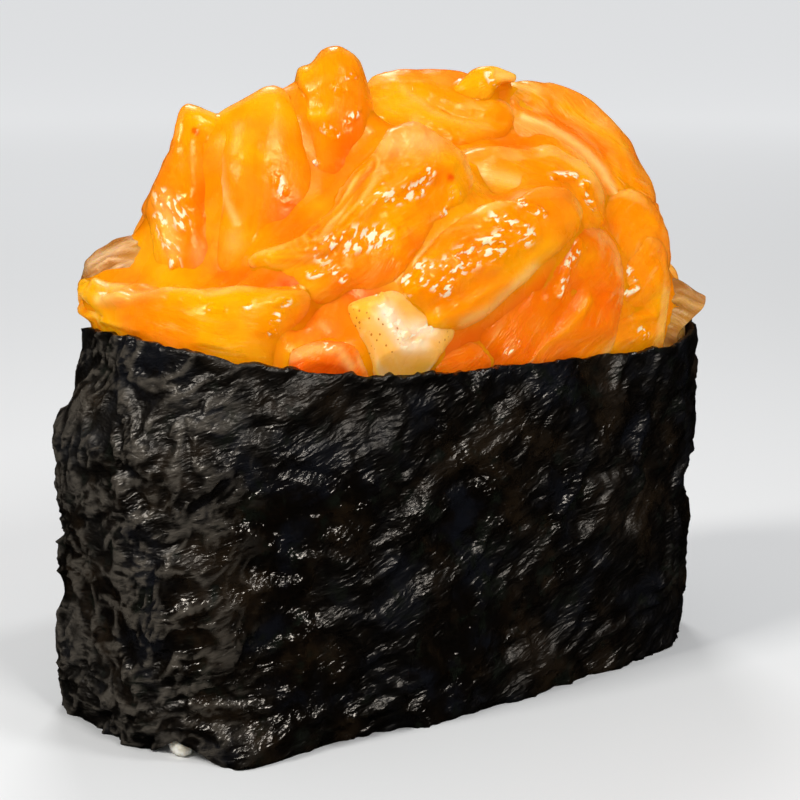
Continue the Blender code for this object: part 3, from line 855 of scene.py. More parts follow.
@dataclass(frozen=True)
class FleshFinish:
    """Raw salmon: its colours, with painted shade in deep gaps and a painted glow on thin pale edges, and its
    wet gloss.
    """

    slot: Slot
    body: tuple
    amber: tuple = (0.96, 0.21, 0.0008, 1.0)
    # Colour of the painted shade in hollows and gaps, and of the real stains.
    deep: tuple = (0.88, 0.080, 0.0008, 1.0)
    pale: tuple = (1.0, 0.58, 0.17, 1.0)
    golden: tuple = (1.0, 0.41, 0.0016, 1.0)
    deep_share: float = 0.9
    # How strongly the painted golden highlight covers the crests.
    crest_highlight_share: float = 0.55
    cloud_scale: float = 170.0
    golden_cloud: tuple = (0.5, 0.68, 0.0, 0.7)
    amber_cloud: tuple = (0.5, 0.34, 0.0, 0.7)
    fat_cloud: tuple = (0.3, 0.6, 0.55, 1.0)
    # Pale band at the slices' outlines: partly gathered sauce, partly a painted glow of the thin edge.
    edge_cloud: tuple = (0.45, 0.6, 0.05, 0.35)
    thread_stretch: tuple = (0.16, 1.5, 0.4)
    thread_groove: tuple = (0.46, 0.30, 0.0, 0.4)
    streak_line: tuple = (0.5, 0.78)
    streak_power: float = 1.5
    streaks: float = 0.40
    speck: tuple = (0.55, 0.16, 0.01, 1.0)
    speck_scale: float = 2.0
    speck_size: tuple = (0.24, 0.13)
    speck_area: tuple = (0.3, 0.5)
    # Pale froth streaks, which also stand in as painted glints.
    foam_and_glint: tuple = (1.0, 0.88, 0.60, 1.0)
    foam_stretch: tuple = (0.9, 2.2, 1.2)
    foam_line: tuple = (0.52, 0.60)
    foam_area: tuple = (0.35, 0.85, 0.0, 0.9)
    subsurface: float = 0.35
    radius: tuple = (1.0, 0.42, 0.05)
    reach: float = 0.0020
    gloss_scale: float = 300.0
    gloss_patch: tuple = (0.35, 0.65)
    gloss_change: float = 0.10
    roughness: float = 0.27
    wetness: float = 0.19
    smoothest: float = 0.07
    gloss: float = 0.30
    grain_scale: float = 1300.0
    grain_share: float = 0.35
    froth_share: float = 1.5
    fibre_share: float = 1.6
    bump: float = 0.6
    bump_height: float = 0.00016
    sheen: tuple = (1.0, 0.76, 0.36, 1.0)

    def material(self) -> bpy.types.Material:
        """Build the material."""
        material, wires, shader = start_material(self.slot.value)
        place = wires.object_place()
        weave = wires.vector_of("weave")
        fibres = wires.value_of("fibres")
        froth = wires.value_of("froth")
        threads = wires.noise(wires.vector("MULTIPLY", weave, self.thread_stretch), 1.0, 4.0, 0.62)
        colour = self.flesh_colour(wires, place, threads, fibres)
        colour = self.topped_colour(wires, weave, froth, colour)
        rough = wires.span(wires.noise(place, self.gloss_scale, 3.0, 0.6), *self.gloss_patch,
                           self.roughness - self.gloss_change, self.roughness + self.gloss_change)
        rough = wires.math("SUBTRACT", rough, wires.times(froth, self.wetness))
        height = wires.times(wires.noise(place, self.grain_scale, 2.0),
                             wires.math("MULTIPLY_ADD", froth, self.froth_share, self.grain_share))
        height = wires.math("MULTIPLY_ADD", threads, wires.times(fibres, self.fibre_share), height)
        bump = wires.add("ShaderNodeBump", Strength=self.bump, Distance=self.bump_height, Height=height)
        wires.fill(shader, Base_Color=colour, Roughness=wires.math("MAXIMUM", rough, self.smoothest),
                   Normal=bump.outputs[0], Subsurface_Weight=self.subsurface, Subsurface_Radius=self.radius,
                   Subsurface_Scale=self.reach, Specular_IOR_Level=self.gloss, Specular_Tint=self.sheen)
        return material

    def flesh_colour(self, wires: Wiring, place: Socket, threads: Socket, fibres: Socket) -> Socket:
        """Cloudy flesh with pale fibres and lines of fat, painted shade in hollows and gaps, painted golden
        highlights on crests, and thin pale edges that are partly gathered sauce and partly a painted glow.

        Args:
            wires: Wiring of the material.
            place: Place on the piece.
            threads: Noise drawn out along the flesh.
            fibres: How fibrous the piece is.

        Returns:
            The colour.
        """
        cloud = wires.noise(place, self.cloud_scale, 3.0)
        colour = wires.mix(wires.span(cloud, *self.golden_cloud), self.body, self.golden)
        colour = wires.mix(wires.span(cloud, *self.amber_cloud), colour, self.amber)
        streak = wires.math("POWER", wires.span(threads, *self.streak_line), self.streak_power)
        streak = wires.times(streak, wires.times(fibres, self.streaks))
        # Painted shade: the deep colour where the skin is hollow, and where the strokes paint shade in gaps
        # and lay real specks.
        deep = wires.math("MAXIMUM", wires.value_of("crevice_shade"), wires.value_of("stain_and_shade"))
        deep = wires.times(deep, self.deep_share)
        for share, tone in (
                (wires.math("MINIMUM", streak, 1.0), self.pale),
                (wires.span(threads, *self.thread_groove), self.amber),
                # Golden patches, partly a painted glow on thin tips and edges.
                (wires.value_of("gold_and_glow"), self.golden),
                (wires.math("MINIMUM", deep, 1.0), self.deep),
                (wires.times(wires.value_of("fat"), wires.span(cloud, *self.fat_cloud)), self.pale),
                # Painted highlight: golden colour on the convex crests.
                (wires.times(wires.value_of("crest_highlight"), self.crest_highlight_share), self.golden),
                # Painted glow at the outlines, partly the sauce gathered there.
                (wires.times(wires.value_of("edge"), wires.span(cloud, *self.edge_cloud)), self.pale)):
            colour = wires.mix(share, colour, tone)
        return colour

    def topped_colour(self, wires: Wiring, weave: Socket, froth: Socket, colour: Socket) -> Socket:
        """Fine specks, and streaks of pale froth where the sauce is frothy, which also serve as painted
        glints.

        Args:
            wires: Wiring of the material.
            weave: Place along, across and into the flesh.
            froth: How frothy each place is.
            colour: Colour of the flesh.

        Returns:
            The colour with its specks and foam.
        """
        dots = wires.add("ShaderNodeTexVoronoi", Vector=weave, Scale=self.speck_scale, Randomness=0.5)
        dots = wires.times(wires.span(dots.outputs["Distance"], *self.speck_size),
                           wires.span(wires.value_of("specks"), *self.speck_area))
        colour = wires.mix(dots, colour, self.speck)
        # Painted glints: pale streaks along the grain where the flesh is frothy, partly real froth.
        foam_and_glint = wires.noise(wires.vector("MULTIPLY", weave, self.foam_stretch), 1.0, 2.0)
        foam_and_glint = wires.times(wires.span(foam_and_glint, *self.foam_line), wires.span(froth, *self.foam_area))
        return wires.mix(foam_and_glint, colour, self.foam_and_glint)


FLESH_FINISHES = (
    FleshFinish(Slot.SALMON, (1.0, 0.272, 0.0007, 1.0)),
    FleshFinish(Slot.DEEP, (0.96, 0.19, 0.0008, 1.0), golden=(1.0, 0.30, 0.001, 1.0),
                amber=(0.92, 0.13, 0.0006, 1.0)),
    FleshFinish(Slot.PALE, (1.0, 0.46, 0.09, 1.0), golden=(1.0, 0.46, 0.03, 1.0),
                amber=(1.0, 0.40, 0.03, 1.0), pale=(1.0, 0.80, 0.58, 1.0), deep_share=0.4),
    FleshFinish(Slot.BROWN, (0.44, 0.18, 0.035, 1.0), golden=(0.64, 0.31, 0.05, 1.0),
                amber=(0.34, 0.11, 0.012, 1.0), pale=(0.74, 0.46, 0.23, 1.0), deep=(0.36, 0.10, 0.004, 1.0),
                deep_share=0.6, streaks=0.8, crest_highlight_share=0.3),
)


# Slices of salmon, drawn as seen from the front

class Touch(Enum):
    """What a stroke does to a slice's front."""

    RIDGE = "ridge"
    GROOVE = "groove"
    FIBRES = "fibres"
    FROTH = "froth"
    FAT = "fat"
    # Golden patches: partly the flesh's own yellow, partly a painted glow on thin tips and edges.
    GOLD_AND_GLOW = "gold_and_glow"
    # Real specks, and painted shade in the gaps and valleys between slices.
    STAIN_AND_SHADE = "stain_and_shade"
    SPECKS = "specks"


RIDGE, GROOVE, FIBRES, FROTH, FAT, GOLD_AND_GLOW, STAIN_AND_SHADE, SPECKS = Touch


@dataclass(frozen=True)
class Stroke:
    """A line on a slice's front, in millimetres across and up, with its width and strength."""

    touch: Touch
    width: float
    strength: float
    line: tuple


@dataclass(frozen=True)
class Slice:
    """A slice of salmon: its outline seen from the front, how it lies, and how its flesh runs."""

    name: str
    depth: float
    turn: float
    lean: float
    thickness: float
    bow: float
    outline: tuple
    back: bool = False
    slot: Slot = Slot.SALMON
    grain: float = 30.0
    lumps: float = 1.0
    fibre: float = 1.0
    overhang: float = -0.15
    roundness: float = 5.0
    slack: float = 0.36
    strokes: tuple = ()


def strokes(*rows: tuple) -> tuple:
    """Strokes from rows of touch, width, strength and the points of the line."""
    return tuple(Stroke(touch, width, strength, tuple(line)) for touch, width, strength, *line in rows)


PALE_SLICE_STROKES = strokes(
    (FAT, 0.8, 0.9, (-0.4, 35.6), (0.8, 34.4), (3.2, 33.9)),
    (FAT, 0.7, 0.8, (0.4, 34.3), (1.4, 32.9), (2.6, 32.9)),
    (FROTH, 0.7, 1.0, (-0.3, 35.6), (0.6, 34.2), (1.2, 33.2), (3.0, 34.0)),
    (FROTH, 0.4, 1.0, (-1.0, 37.0), (-0.8, 36.3)),
    (GOLD_AND_GLOW, 0.9, 0.8, (-3.3, 35.5), (-1.2, 36.4), (-0.9, 37.2)),
    (GOLD_AND_GLOW, 0.7, 0.3, (-2.6, 33.0), (-1.2, 30.8), (1.8, 30.0)),
    (FIBRES, 1.6, 0.4, (-1.8, 33.6), (-0.6, 30.6)),
    (SPECKS, 1.7, 1.0, (-2.6, 34.8), (-0.8, 33.6)),
    (SPECKS, 0.9, 1.0, (3.6, 34.0), (4.6, 33.4)),
)

# The long deep strokes paint shade in the valleys and gaps; the tiny dark one near the tip is a real speck.
PETAL_STROKES = strokes(
    (GROOVE, 1.3, 0.7, (-15.2, 48.8), (-15.0, 44.0), (-15.3, 40.5), (-15.8, 37.5)),
    (RIDGE, 2.8, 0.7, (-12.0, 48.0), (-11.6, 44.0), (-12.0, 39.0)),
    (STAIN_AND_SHADE, 1.3, 0.55, (-15.2, 45.0), (-15.7, 41.0), (-15.2, 37.5)),
    (FAT, 0.42, 0.75, (-14.4, 47.4), (-14.2, 45.8), (-13.8, 44.6)),
    (FAT, 0.30, 0.6, (-13.8, 44.6), (-13.2, 43.4), (-12.7, 42.3)),
    (FAT, 0.30, 0.5, (-13.9, 44.6), (-14.4, 43.2)),
    (FROTH, 1.0, 1.3, (-19.2, 44.4), (-17.9, 43.8), (-17.4, 42.6)),
    (FROTH, 0.8, 1.3, (-19.4, 42.6), (-18.8, 41.2), (-18.1, 40.2), (-17.9, 38.8)),
    (FAT, 0.9, 0.45, (-19.0, 44.0), (-18.4, 42.2)),
    (FAT, 0.7, 0.4, (-18.4, 41.6), (-18.0, 40.0)),
    (RIDGE, 0.30, 0.20, (-19.2, 42.0), (-18.4, 41.0), (-17.9, 39.0)),
    (RIDGE, 0.28, 0.22, (-19.0, 44.3), (-18.0, 43.4), (-17.4, 42.0)),
    (FROTH, 0.35, 1.0, (-17.2, 37.2), (-15.6, 36.5)),
    (RIDGE, 0.28, 0.25, (-17.2, 37.1), (-15.6, 36.5)),
    (GOLD_AND_GLOW, 1.2, 0.8, (-19.4, 40.0), (-18.4, 37.4)),
    (GOLD_AND_GLOW, 0.9, 0.9, (-16.3, 51.2), (-15.0, 50.4)),
    (GOLD_AND_GLOW, 1.2, 0.8, (-10.5, 52.6), (-9.2, 51.4), (-8.3, 51.0)),
    (STAIN_AND_SHADE, 0.22, 1.4, (-16.4, 49.9), (-16.2, 49.8)),
    (FROTH, 0.6, 1.1, (-9.5, 46.2), (-9.0, 44.9)),
    # Painted soft glows on the petals' lower faces: pale spots where light shows through.
    (RIDGE, 1.1, 0.40, (-15.9, 40.0), (-15.6, 39.2)),
    (FAT, 0.7, 0.35, (-15.9, 40.0), (-15.7, 39.4)),
    (FAT, 0.7, 0.25, (-12.9, 41.0), (-12.9, 40.5)),
    (STAIN_AND_SHADE, 1.4, 0.8, (-15.5, 37.4), (-12.0, 37.2), (-9.0, 38.0)),
    (STAIN_AND_SHADE, 1.2, 0.7, (-8.4, 43.8), (-8.8, 41.0)),
)

FINGER_STROKES = strokes(
    (GROOVE, 0.7, 0.5, (-8.0, 52.4), (-7.8, 49.5), (-7.5, 46.5), (-6.8, 44.0)),
    (FAT, 0.6, 0.40, (-7.2, 46.6), (-6.8, 44.6)),
    (RIDGE, 0.8, 0.40, (-7.3, 50.9), (-5.8, 50.9)),
    (GOLD_AND_GLOW, 0.7, 0.9, (-7.4, 51.1), (-5.8, 51.0)),
    (GOLD_AND_GLOW, 0.8, 0.7, (-7.6, 54.3), (-6.6, 55.2)),
    (FROTH, 0.5, 1.2, (-4.6, 53.4), (-4.2, 52.9)),
    (FROTH, 0.35, 1.0, (-3.7, 54.1), (-3.2, 54.2)),
    (FROTH, 0.5, 1.2, (-5.6, 50.0), (-4.7, 49.4)),
    (FROTH, 0.4, 1.1, (-7.5, 47.6), (-6.4, 47.1)),
    (RIDGE, 0.26, 0.28, (-7.5, 47.6), (-6.4, 47.1)),
    (FROTH, 0.4, 1.0, (-3.6, 50.6), (-2.7, 51.3)),
    (STAIN_AND_SHADE, 1.3, 0.6, (-3.2, 50.0), (-4.0, 47.5), (-5.0, 45.5)),
    (STAIN_AND_SHADE, 1.2, 0.9, (-5.4, 45.0), (-7.2, 42.0), (-8.2, 40.8)),
)

LEFT_TONGUE_STROKES = strokes(
    (RIDGE, 0.7, 0.45, (-9.5, 40.0), (-5.2, 41.0), (-3.0, 42.6), (-1.5, 44.3), (0.5, 45.3), (2.7, 46.4),
     (5.0, 46.6)),
    (GROOVE, 0.8, 0.35, (-5.6, 42.4), (-3.4, 44.4), (-1.4, 46.6), (0.6, 47.6)),
    (FIBRES, 1.7, 1.0, (-6.0, 42.0), (-3.6, 44.8), (-1.6, 47.2)),
    (FIBRES, 1.0, 0.5, (-9.5, 40.2), (-6.2, 40.4)),
    (FAT, 0.9, 0.75, (-0.6, 48.6), (1.6, 49.0), (3.6, 48.7)),
    (FROTH, 1.3, 1.3, (-5.4, 40.6), (-2.6, 41.4), (-0.8, 41.4)),
    (FROTH, 0.8, 1.1, (-1.9, 44.4), (0.6, 44.4), (2.4, 45.0), (3.0, 46.2)),
    (FROTH, 0.5, 1.0, (-6.4, 38.8), (-4.8, 39.3), (-3.8, 38.4)),
    (FROTH, 0.45, 1.0, (5.4, 44.8), (5.4, 43.8), (4.6, 42.8)),
    (GOLD_AND_GLOW, 1.4, 0.9, (-11.0, 39.7), (-8.2, 38.9), (-7.0, 38.2)),
    (GOLD_AND_GLOW, 0.8, 0.6, (3.8, 47.8), (5.6, 46.8), (5.8, 44.0)),
    (STAIN_AND_SHADE, 0.24, 1.3, (4.9, 45.8), (5.1, 45.7)),
    (STAIN_AND_SHADE, 1.1, 0.45, (-4.0, 37.6), (-1.0, 38.4), (2.0, 40.6)),
)

FRONT_TONGUE_STROKES = strokes(
    (RIDGE, 1.8, 0.55, (0.8, 36.6), (4.0, 38.4), (8.0, 39.9), (11.0, 41.2)),
    (RIDGE, 0.24, 0.20, (4.8, 40.2), (6.5, 40.9), (8.6, 41.2)),
    (RIDGE, 0.22, 0.18, (5.2, 39.6), (7.0, 40.3), (9.2, 40.6)),
    (FROTH, 1.2, 1.2, (0.7, 37.2), (2.6, 38.2), (4.6, 37.4)),
    (FROTH, 1.4, 1.3, (4.8, 38.4), (6.4, 39.4), (9.0, 40.2)),
    (FROTH, 0.9, 1.1, (8.8, 42.2), (10.3, 41.2), (11.6, 40.6)),
    (FROTH, 0.6, 1.1, (11.0, 43.6), (12.9, 42.4)),
    (FAT, 0.45, 0.65, (6.0, 34.2), (8.6, 35.2), (10.6, 36.8), (12.2, 38.0)),
    (GOLD_AND_GLOW, 1.2, 0.7, (0.2, 36.6), (1.4, 35.0), (3.6, 34.2)),
    (GOLD_AND_GLOW, 1.3, 0.5, (10.6, 38.4), (13.4, 39.6)),
    (GROOVE, 1.0, 0.4, (2.4, 35.4), (6.0, 36.6), (9.8, 38.2), (12.6, 39.8)),
)

INNER_STROKES = strokes(
    (FAT, 0.55, 0.6, (7.0, 45.9), (9.4, 45.2), (11.4, 44.6)),
    (GOLD_AND_GLOW, 0.9, 0.8, (8.0, 45.0), (11.0, 44.4)),
    (STAIN_AND_SHADE, 0.25, 1.2, (12.2, 44.8), (12.8, 44.4)),
    (FROTH, 0.5, 1.2, (14.2, 45.0), (16.4, 44.9)),
    (RIDGE, 0.26, 0.26, (14.2, 45.0), (16.4, 44.8)),
    (FROTH, 0.7, 1.2, (17.4, 44.0), (17.9, 42.4)),
    (FROTH, 0.7, 1.2, (14.6, 41.2), (16.0, 41.0)),
    (FROTH, 0.5, 1.0, (11.6, 42.5), (13.6, 41.4)),
    (RIDGE, 0.8, 0.4, (6.5, 43.4), (11.0, 43.8), (15.0, 42.8), (18.5, 41.0)),
    (GROOVE, 0.6, 0.4, (8.0, 42.2), (12.0, 42.4), (16.0, 40.6)),
)

DOME_STROKES = strokes(
    (FAT, 0.36, 0.95, (12.0, 49.8), (14.0, 49.1), (16.0, 47.9), (18.0, 46.3), (19.5, 45.0), (20.5, 43.5),
     (21.3, 41.5)),
    (RIDGE, 0.5, 0.25, (12.0, 49.8), (16.0, 47.9), (19.5, 45.0), (21.3, 41.5)),
    (FAT, 0.7, 0.3, (10.0, 50.0), (13.4, 48.7)),
    (FIBRES, 2.4, 0.5, (9.0, 50.6), (14.0, 49.0), (18.0, 46.4), (21.0, 42.0)),
    (GROOVE, 0.35, 0.3, (12.0, 51.2), (16.0, 49.6), (20.0, 46.4), (22.4, 43.0)),
    (GROOVE, 0.35, 0.3, (15.0, 50.9), (18.4, 48.5), (21.6, 45.4), (23.2, 42.0)),
    (GOLD_AND_GLOW, 0.5, 0.6, (16.0, 51.0), (18.0, 49.7), (21.6, 46.8)),
    (GOLD_AND_GLOW, 1.0, 0.5, (5.0, 50.4), (9.0, 48.6)),
    (FROTH, 0.35, 1.0, (9.4, 48.4), (11.6, 48.1)),
    (STAIN_AND_SHADE, 0.9, 0.5, (11.0, 51.0), (15.0, 49.9), (19.5, 46.6)),
)

TOP_STROKES = strokes(
    (FAT, 0.4, 0.25, (1.0, 52.6), (4.0, 50.6), (8.6, 49.4)),
    (GOLD_AND_GLOW, 1.6, 0.5, (-1.0, 52.0), (3.0, 51.2), (8.0, 49.6)),
    (GROOVE, 0.5, 0.35, (2.0, 52.4), (5.5, 50.6), (10.0, 49.6)),
)

CURL_STROKES = strokes(
    (GOLD_AND_GLOW, 2.4, 1.0, (6.4, 52.6), (8.8, 53.4), (11.2, 53.4)),
    (FAT, 0.5, 0.7, (9.6, 53.9), (11.0, 53.5)),
    (FROTH, 0.5, 1.2, (8.8, 53.8), (9.4, 52.8)),
)

DEEP_SLICE_STROKES = strokes(
    (FROTH, 0.8, 1.2, (4.8, 32.6), (7.4, 34.2), (11.2, 36.4)),
    (RIDGE, 0.28, 0.22, (4.8, 32.8), (7.6, 34.6), (11.2, 36.8)),
    (RIDGE, 0.8, 0.65, (14.2, 35.4), (14.9, 37.4), (16.2, 39.4)),
    (FROTH, 0.6, 1.2, (14.3, 35.6), (15.0, 37.4), (16.2, 39.0)),
    (RIDGE, 0.45, 0.35, (13.2, 30.6), (15.4, 32.2), (17.2, 34.6)),
    (GOLD_AND_GLOW, 0.5, 0.6, (13.2, 30.8), (15.4, 32.4), (17.2, 34.6)),
    (FROTH, 0.35, 0.9, (9.6, 31.0), (10.8, 31.8)),
    (GROOVE, 0.8, 0.4, (12.2, 30.8), (14.4, 33.2), (16.0, 35.6)),
)

FOLD_STROKES = strokes(
    (RIDGE, 0.35, 0.30, (16.6, 31.2), (18.8, 33.4), (22.2, 34.8)),
    (FROTH, 0.45, 1.0, (16.8, 31.6), (18.8, 33.6), (21.8, 34.8)),
    (RIDGE, 0.4, 0.3, (15.8, 29.6), (18.6, 31.4), (21.6, 32.4), (24.0, 32.2)),
    (GROOVE, 0.6, 0.35, (17.0, 30.0), (20.0, 32.4), (24.0, 33.6)),
    (FROTH, 0.5, 1.2, (20.6, 37.2), (22.0, 35.8)),
    (FROTH, 0.5, 1.2, (22.6, 31.2), (23.2, 30.7)),
    (GOLD_AND_GLOW, 0.6, 0.35, (19.0, 28.8), (22.6, 29.6), (24.6, 30.2)),
)

SLAB_STROKES = strokes(
    (FIBRES, 0.9, 1.1, (-24.2, 37.6), (-21.0, 37.9), (-18.0, 38.1)),
    (RIDGE, 0.4, 0.35, (-23.6, 36.0), (-20.6, 36.8), (-18.0, 37.4), (-15.0, 37.3)),
    (GROOVE, 0.4, 0.35, (-23.4, 36.8), (-20.6, 37.5), (-18.4, 37.9)),
    (FAT, 0.35, 0.7, (-23.6, 36.1), (-20.8, 36.9), (-18.6, 37.6)),
    (RIDGE, 0.9, 0.7, (-24.6, 37.0), (-24.4, 35.8)),
    (RIDGE, 0.7, 0.6, (-23.6, 34.0), (-22.4, 33.6)),
    (GOLD_AND_GLOW, 1.4, 1.0, (-25.4, 37.4), (-24.8, 35.4), (-23.4, 33.8)),
    (RIDGE, 0.6, 0.7, (-26.0, 36.6), (-25.6, 36.1)),
    (RIDGE, 0.6, 0.55, (-26.0, 34.8), (-25.3, 34.4)),
    (RIDGE, 0.5, 0.6, (-22.8, 36.3), (-21.8, 36.7)),
    (RIDGE, 0.5, 0.5, (-24.8, 33.2), (-24.2, 32.6)),
    (GROOVE, 0.4, 0.6, (-25.9, 35.6), (-24.7, 35.2)),
    (GROOVE, 0.4, 0.5, (-25.0, 34.0), (-24.0, 34.9)),
    (FIBRES, 1.3, 1.0, (-25.8, 36.4), (-25.2, 34.4), (-24.0, 32.6)),
    (GOLD_AND_GLOW, 0.8, 0.8, (-16.0, 37.2), (-12.0, 37.4), (-8.0, 37.0)),
    (GOLD_AND_GLOW, 1.0, 0.6, (-12.2, 37.0), (-9.0, 36.2)),
    (FROTH, 0.5, 1.2, (-11.5, 37.2), (-11.3, 36.9)),
    (FROTH, 0.5, 1.2, (-9.2, 36.9), (-8.3, 36.8)),
    (FROTH, 0.5, 1.2, (-9.2, 35.6), (-8.8, 35.9)),
    (FROTH, 0.4, 1.2, (-9.5, 34.8), (-9.4, 34.5)),
    (FROTH, 0.4, 1.0, (-14.2, 36.6), (-13.4, 36.6)),
    (FROTH, 0.5, 1.2, (-8.9, 32.3), (-8.2, 32.1)),
    (GROOVE, 0.9, 0.25, (-13.0, 34.6), (-11.8, 32.4), (-11.5, 30.5)),
)

# The deep stroke paints shade in the gap beside the slab.
FILLER_STROKES = strokes(
    (STAIN_AND_SHADE, 1.1, 1.0, (-8.2, 36.0), (-6.6, 36.8), (-4.8, 37.0)),
    (GROOVE, 0.7, 0.5, (-8.0, 35.6), (-6.4, 36.6), (-5.0, 37.2)),
    (FROTH, 0.6, 1.1, (-4.2, 34.6), (-3.0, 35.4)),
)

CUBE_STROKES = strokes(
    (FAT, 0.4, 0.5, (-8.6, 32.4), (-6.2, 33.3), (-4.2, 33.1), (-3.2, 31.6)),
    (STAIN_AND_SHADE, 1.5, 0.9, (-7.6, 31.6), (-3.8, 31.2)),
    (FROTH, 0.4, 0.9, (-5.2, 33.4), (-4.4, 33.2)),
)

BROWN_LEFT_STROKES = strokes(
    (FIBRES, 3.0, 1.4, (-26.5, 37.0), (-23.8, 39.2), (-21.0, 39.6)),
    (FAT, 0.35, 0.8, (-27.0, 37.2), (-24.8, 39.2), (-22.6, 40.1)),
)

BROWN_RIGHT_STROKES = strokes(
    (FIBRES, 2.6, 1.4, (23.8, 33.0), (26.8, 32.6), (29.6, 31.4)),
    (RIDGE, 0.3, 0.3, (24.0, 32.4), (27.0, 32.9), (29.4, 31.8)),
    (GOLD_AND_GLOW, 0.3, 0.9, (24.4, 33.4), (27.4, 32.6), (29.2, 31.8)),
    (GOLD_AND_GLOW, 0.3, 0.9, (24.0, 31.8), (26.4, 31.2)),
)

BACK_STROKES = strokes(
    (FIBRES, 1.1, 1.0, (-26.0, 35.0), (-18.0, 37.6), (-10.0, 36.0)),
    (FROTH, 0.9, 1.1, (-22.0, 34.4), (-17.0, 35.0)),
    (GOLD_AND_GLOW, 1.3, 0.8, (-26.0, 33.0), (-20.0, 31.0)),
    (FAT, 0.5, 0.7, (-9.0, 34.2), (-6.0, 37.6), (0.0, 38.8)),
    (RIDGE, 0.8, 0.4, (-7.0, 34.0), (0.0, 37.0), (6.0, 35.0)),
    (FROTH, 0.9, 1.1, (-4.0, 36.0), (1.0, 36.6)),
    (FROTH, 0.8, 1.1, (9.0, 34.0), (14.0, 36.6)),
    (RIDGE, 0.5, 0.3, (12.0, 30.0), (16.0, 34.0), (19.0, 35.0)),
    (GOLD_AND_GLOW, 0.8, 0.7, (8.0, 30.4), (14.0, 32.4)),
    (FAT, 0.5, 0.7, (-22.0, 40.0), (-18.0, 44.6), (-12.0, 47.0), (-6.0, 45.4)),
    (FIBRES, 1.8, 0.9, (-20.0, 40.0), (-12.0, 42.4)),
    (FROTH, 0.9, 1.1, (-15.0, 43.6), (-10.0, 44.0)),
    (FAT, 0.5, 0.6, (-4.0, 43.0), (-2.0, 47.0), (3.0, 49.0)),
    (FROTH, 1.0, 1.1, (0.0, 45.4), (5.0, 46.4)),
    (GROOVE, 0.9, 0.4, (-1.0, 40.0), (6.0, 42.0), (9.0, 46.0)),
    (FAT, 0.5, 0.6, (11.0, 42.0), (13.0, 45.0), (17.6, 44.6)),
    (FROTH, 0.8, 1.1, (13.4, 42.2), (17.0, 43.0)),
)

# Painted shade in the gaps between the slices, golden patches that are partly a painted glow, and a line of
# fat.
HEAP_STROKES = strokes(
    (STAIN_AND_SHADE, 0.9, 1.0, (-8.6, 38.2), (-6.2, 37.3), (-5.2, 37.4)),
    (STAIN_AND_SHADE, 0.7, 1.0, (-7.6, 35.0), (-6.2, 36.6)),
    (GROOVE, 0.8, 0.8, (-7.4, 35.4), (-6.2, 36.9)),
    (STAIN_AND_SHADE, 1.2, 0.7, (-14.0, 38.4), (-12.0, 38.2), (-9.0, 38.6)),
    (GOLD_AND_GLOW, 1.5, 0.8, (-19.6, 39.6), (-18.4, 37.6), (-16.8, 37.2)),
    (GOLD_AND_GLOW, 0.8, 0.6, (6.2, 43.4), (3.2, 40.8), (0.4, 38.2)),
    (FAT, 0.5, 0.8, (16.0, 47.9), (18.0, 46.3), (19.5, 45.0), (20.5, 43.5), (21.3, 41.5)),
    (STAIN_AND_SHADE, 1.6, 0.8, (2.0, 31.0), (9.0, 33.0), (14.0, 36.4)),
    (STAIN_AND_SHADE, 1.3, 0.9, (-9.0, 36.8), (-4.0, 38.0), (-1.0, 36.0)),
    (GOLD_AND_GLOW, 0.8, 0.6, (6.4, 47.2), (7.6, 44.6)),
)

HEAP_SHAPE = Slice("salmon_heap", 0.0, 0.0, 0.0, 0.0, 0.0, (), fibre=0.3, strokes=HEAP_STROKES)

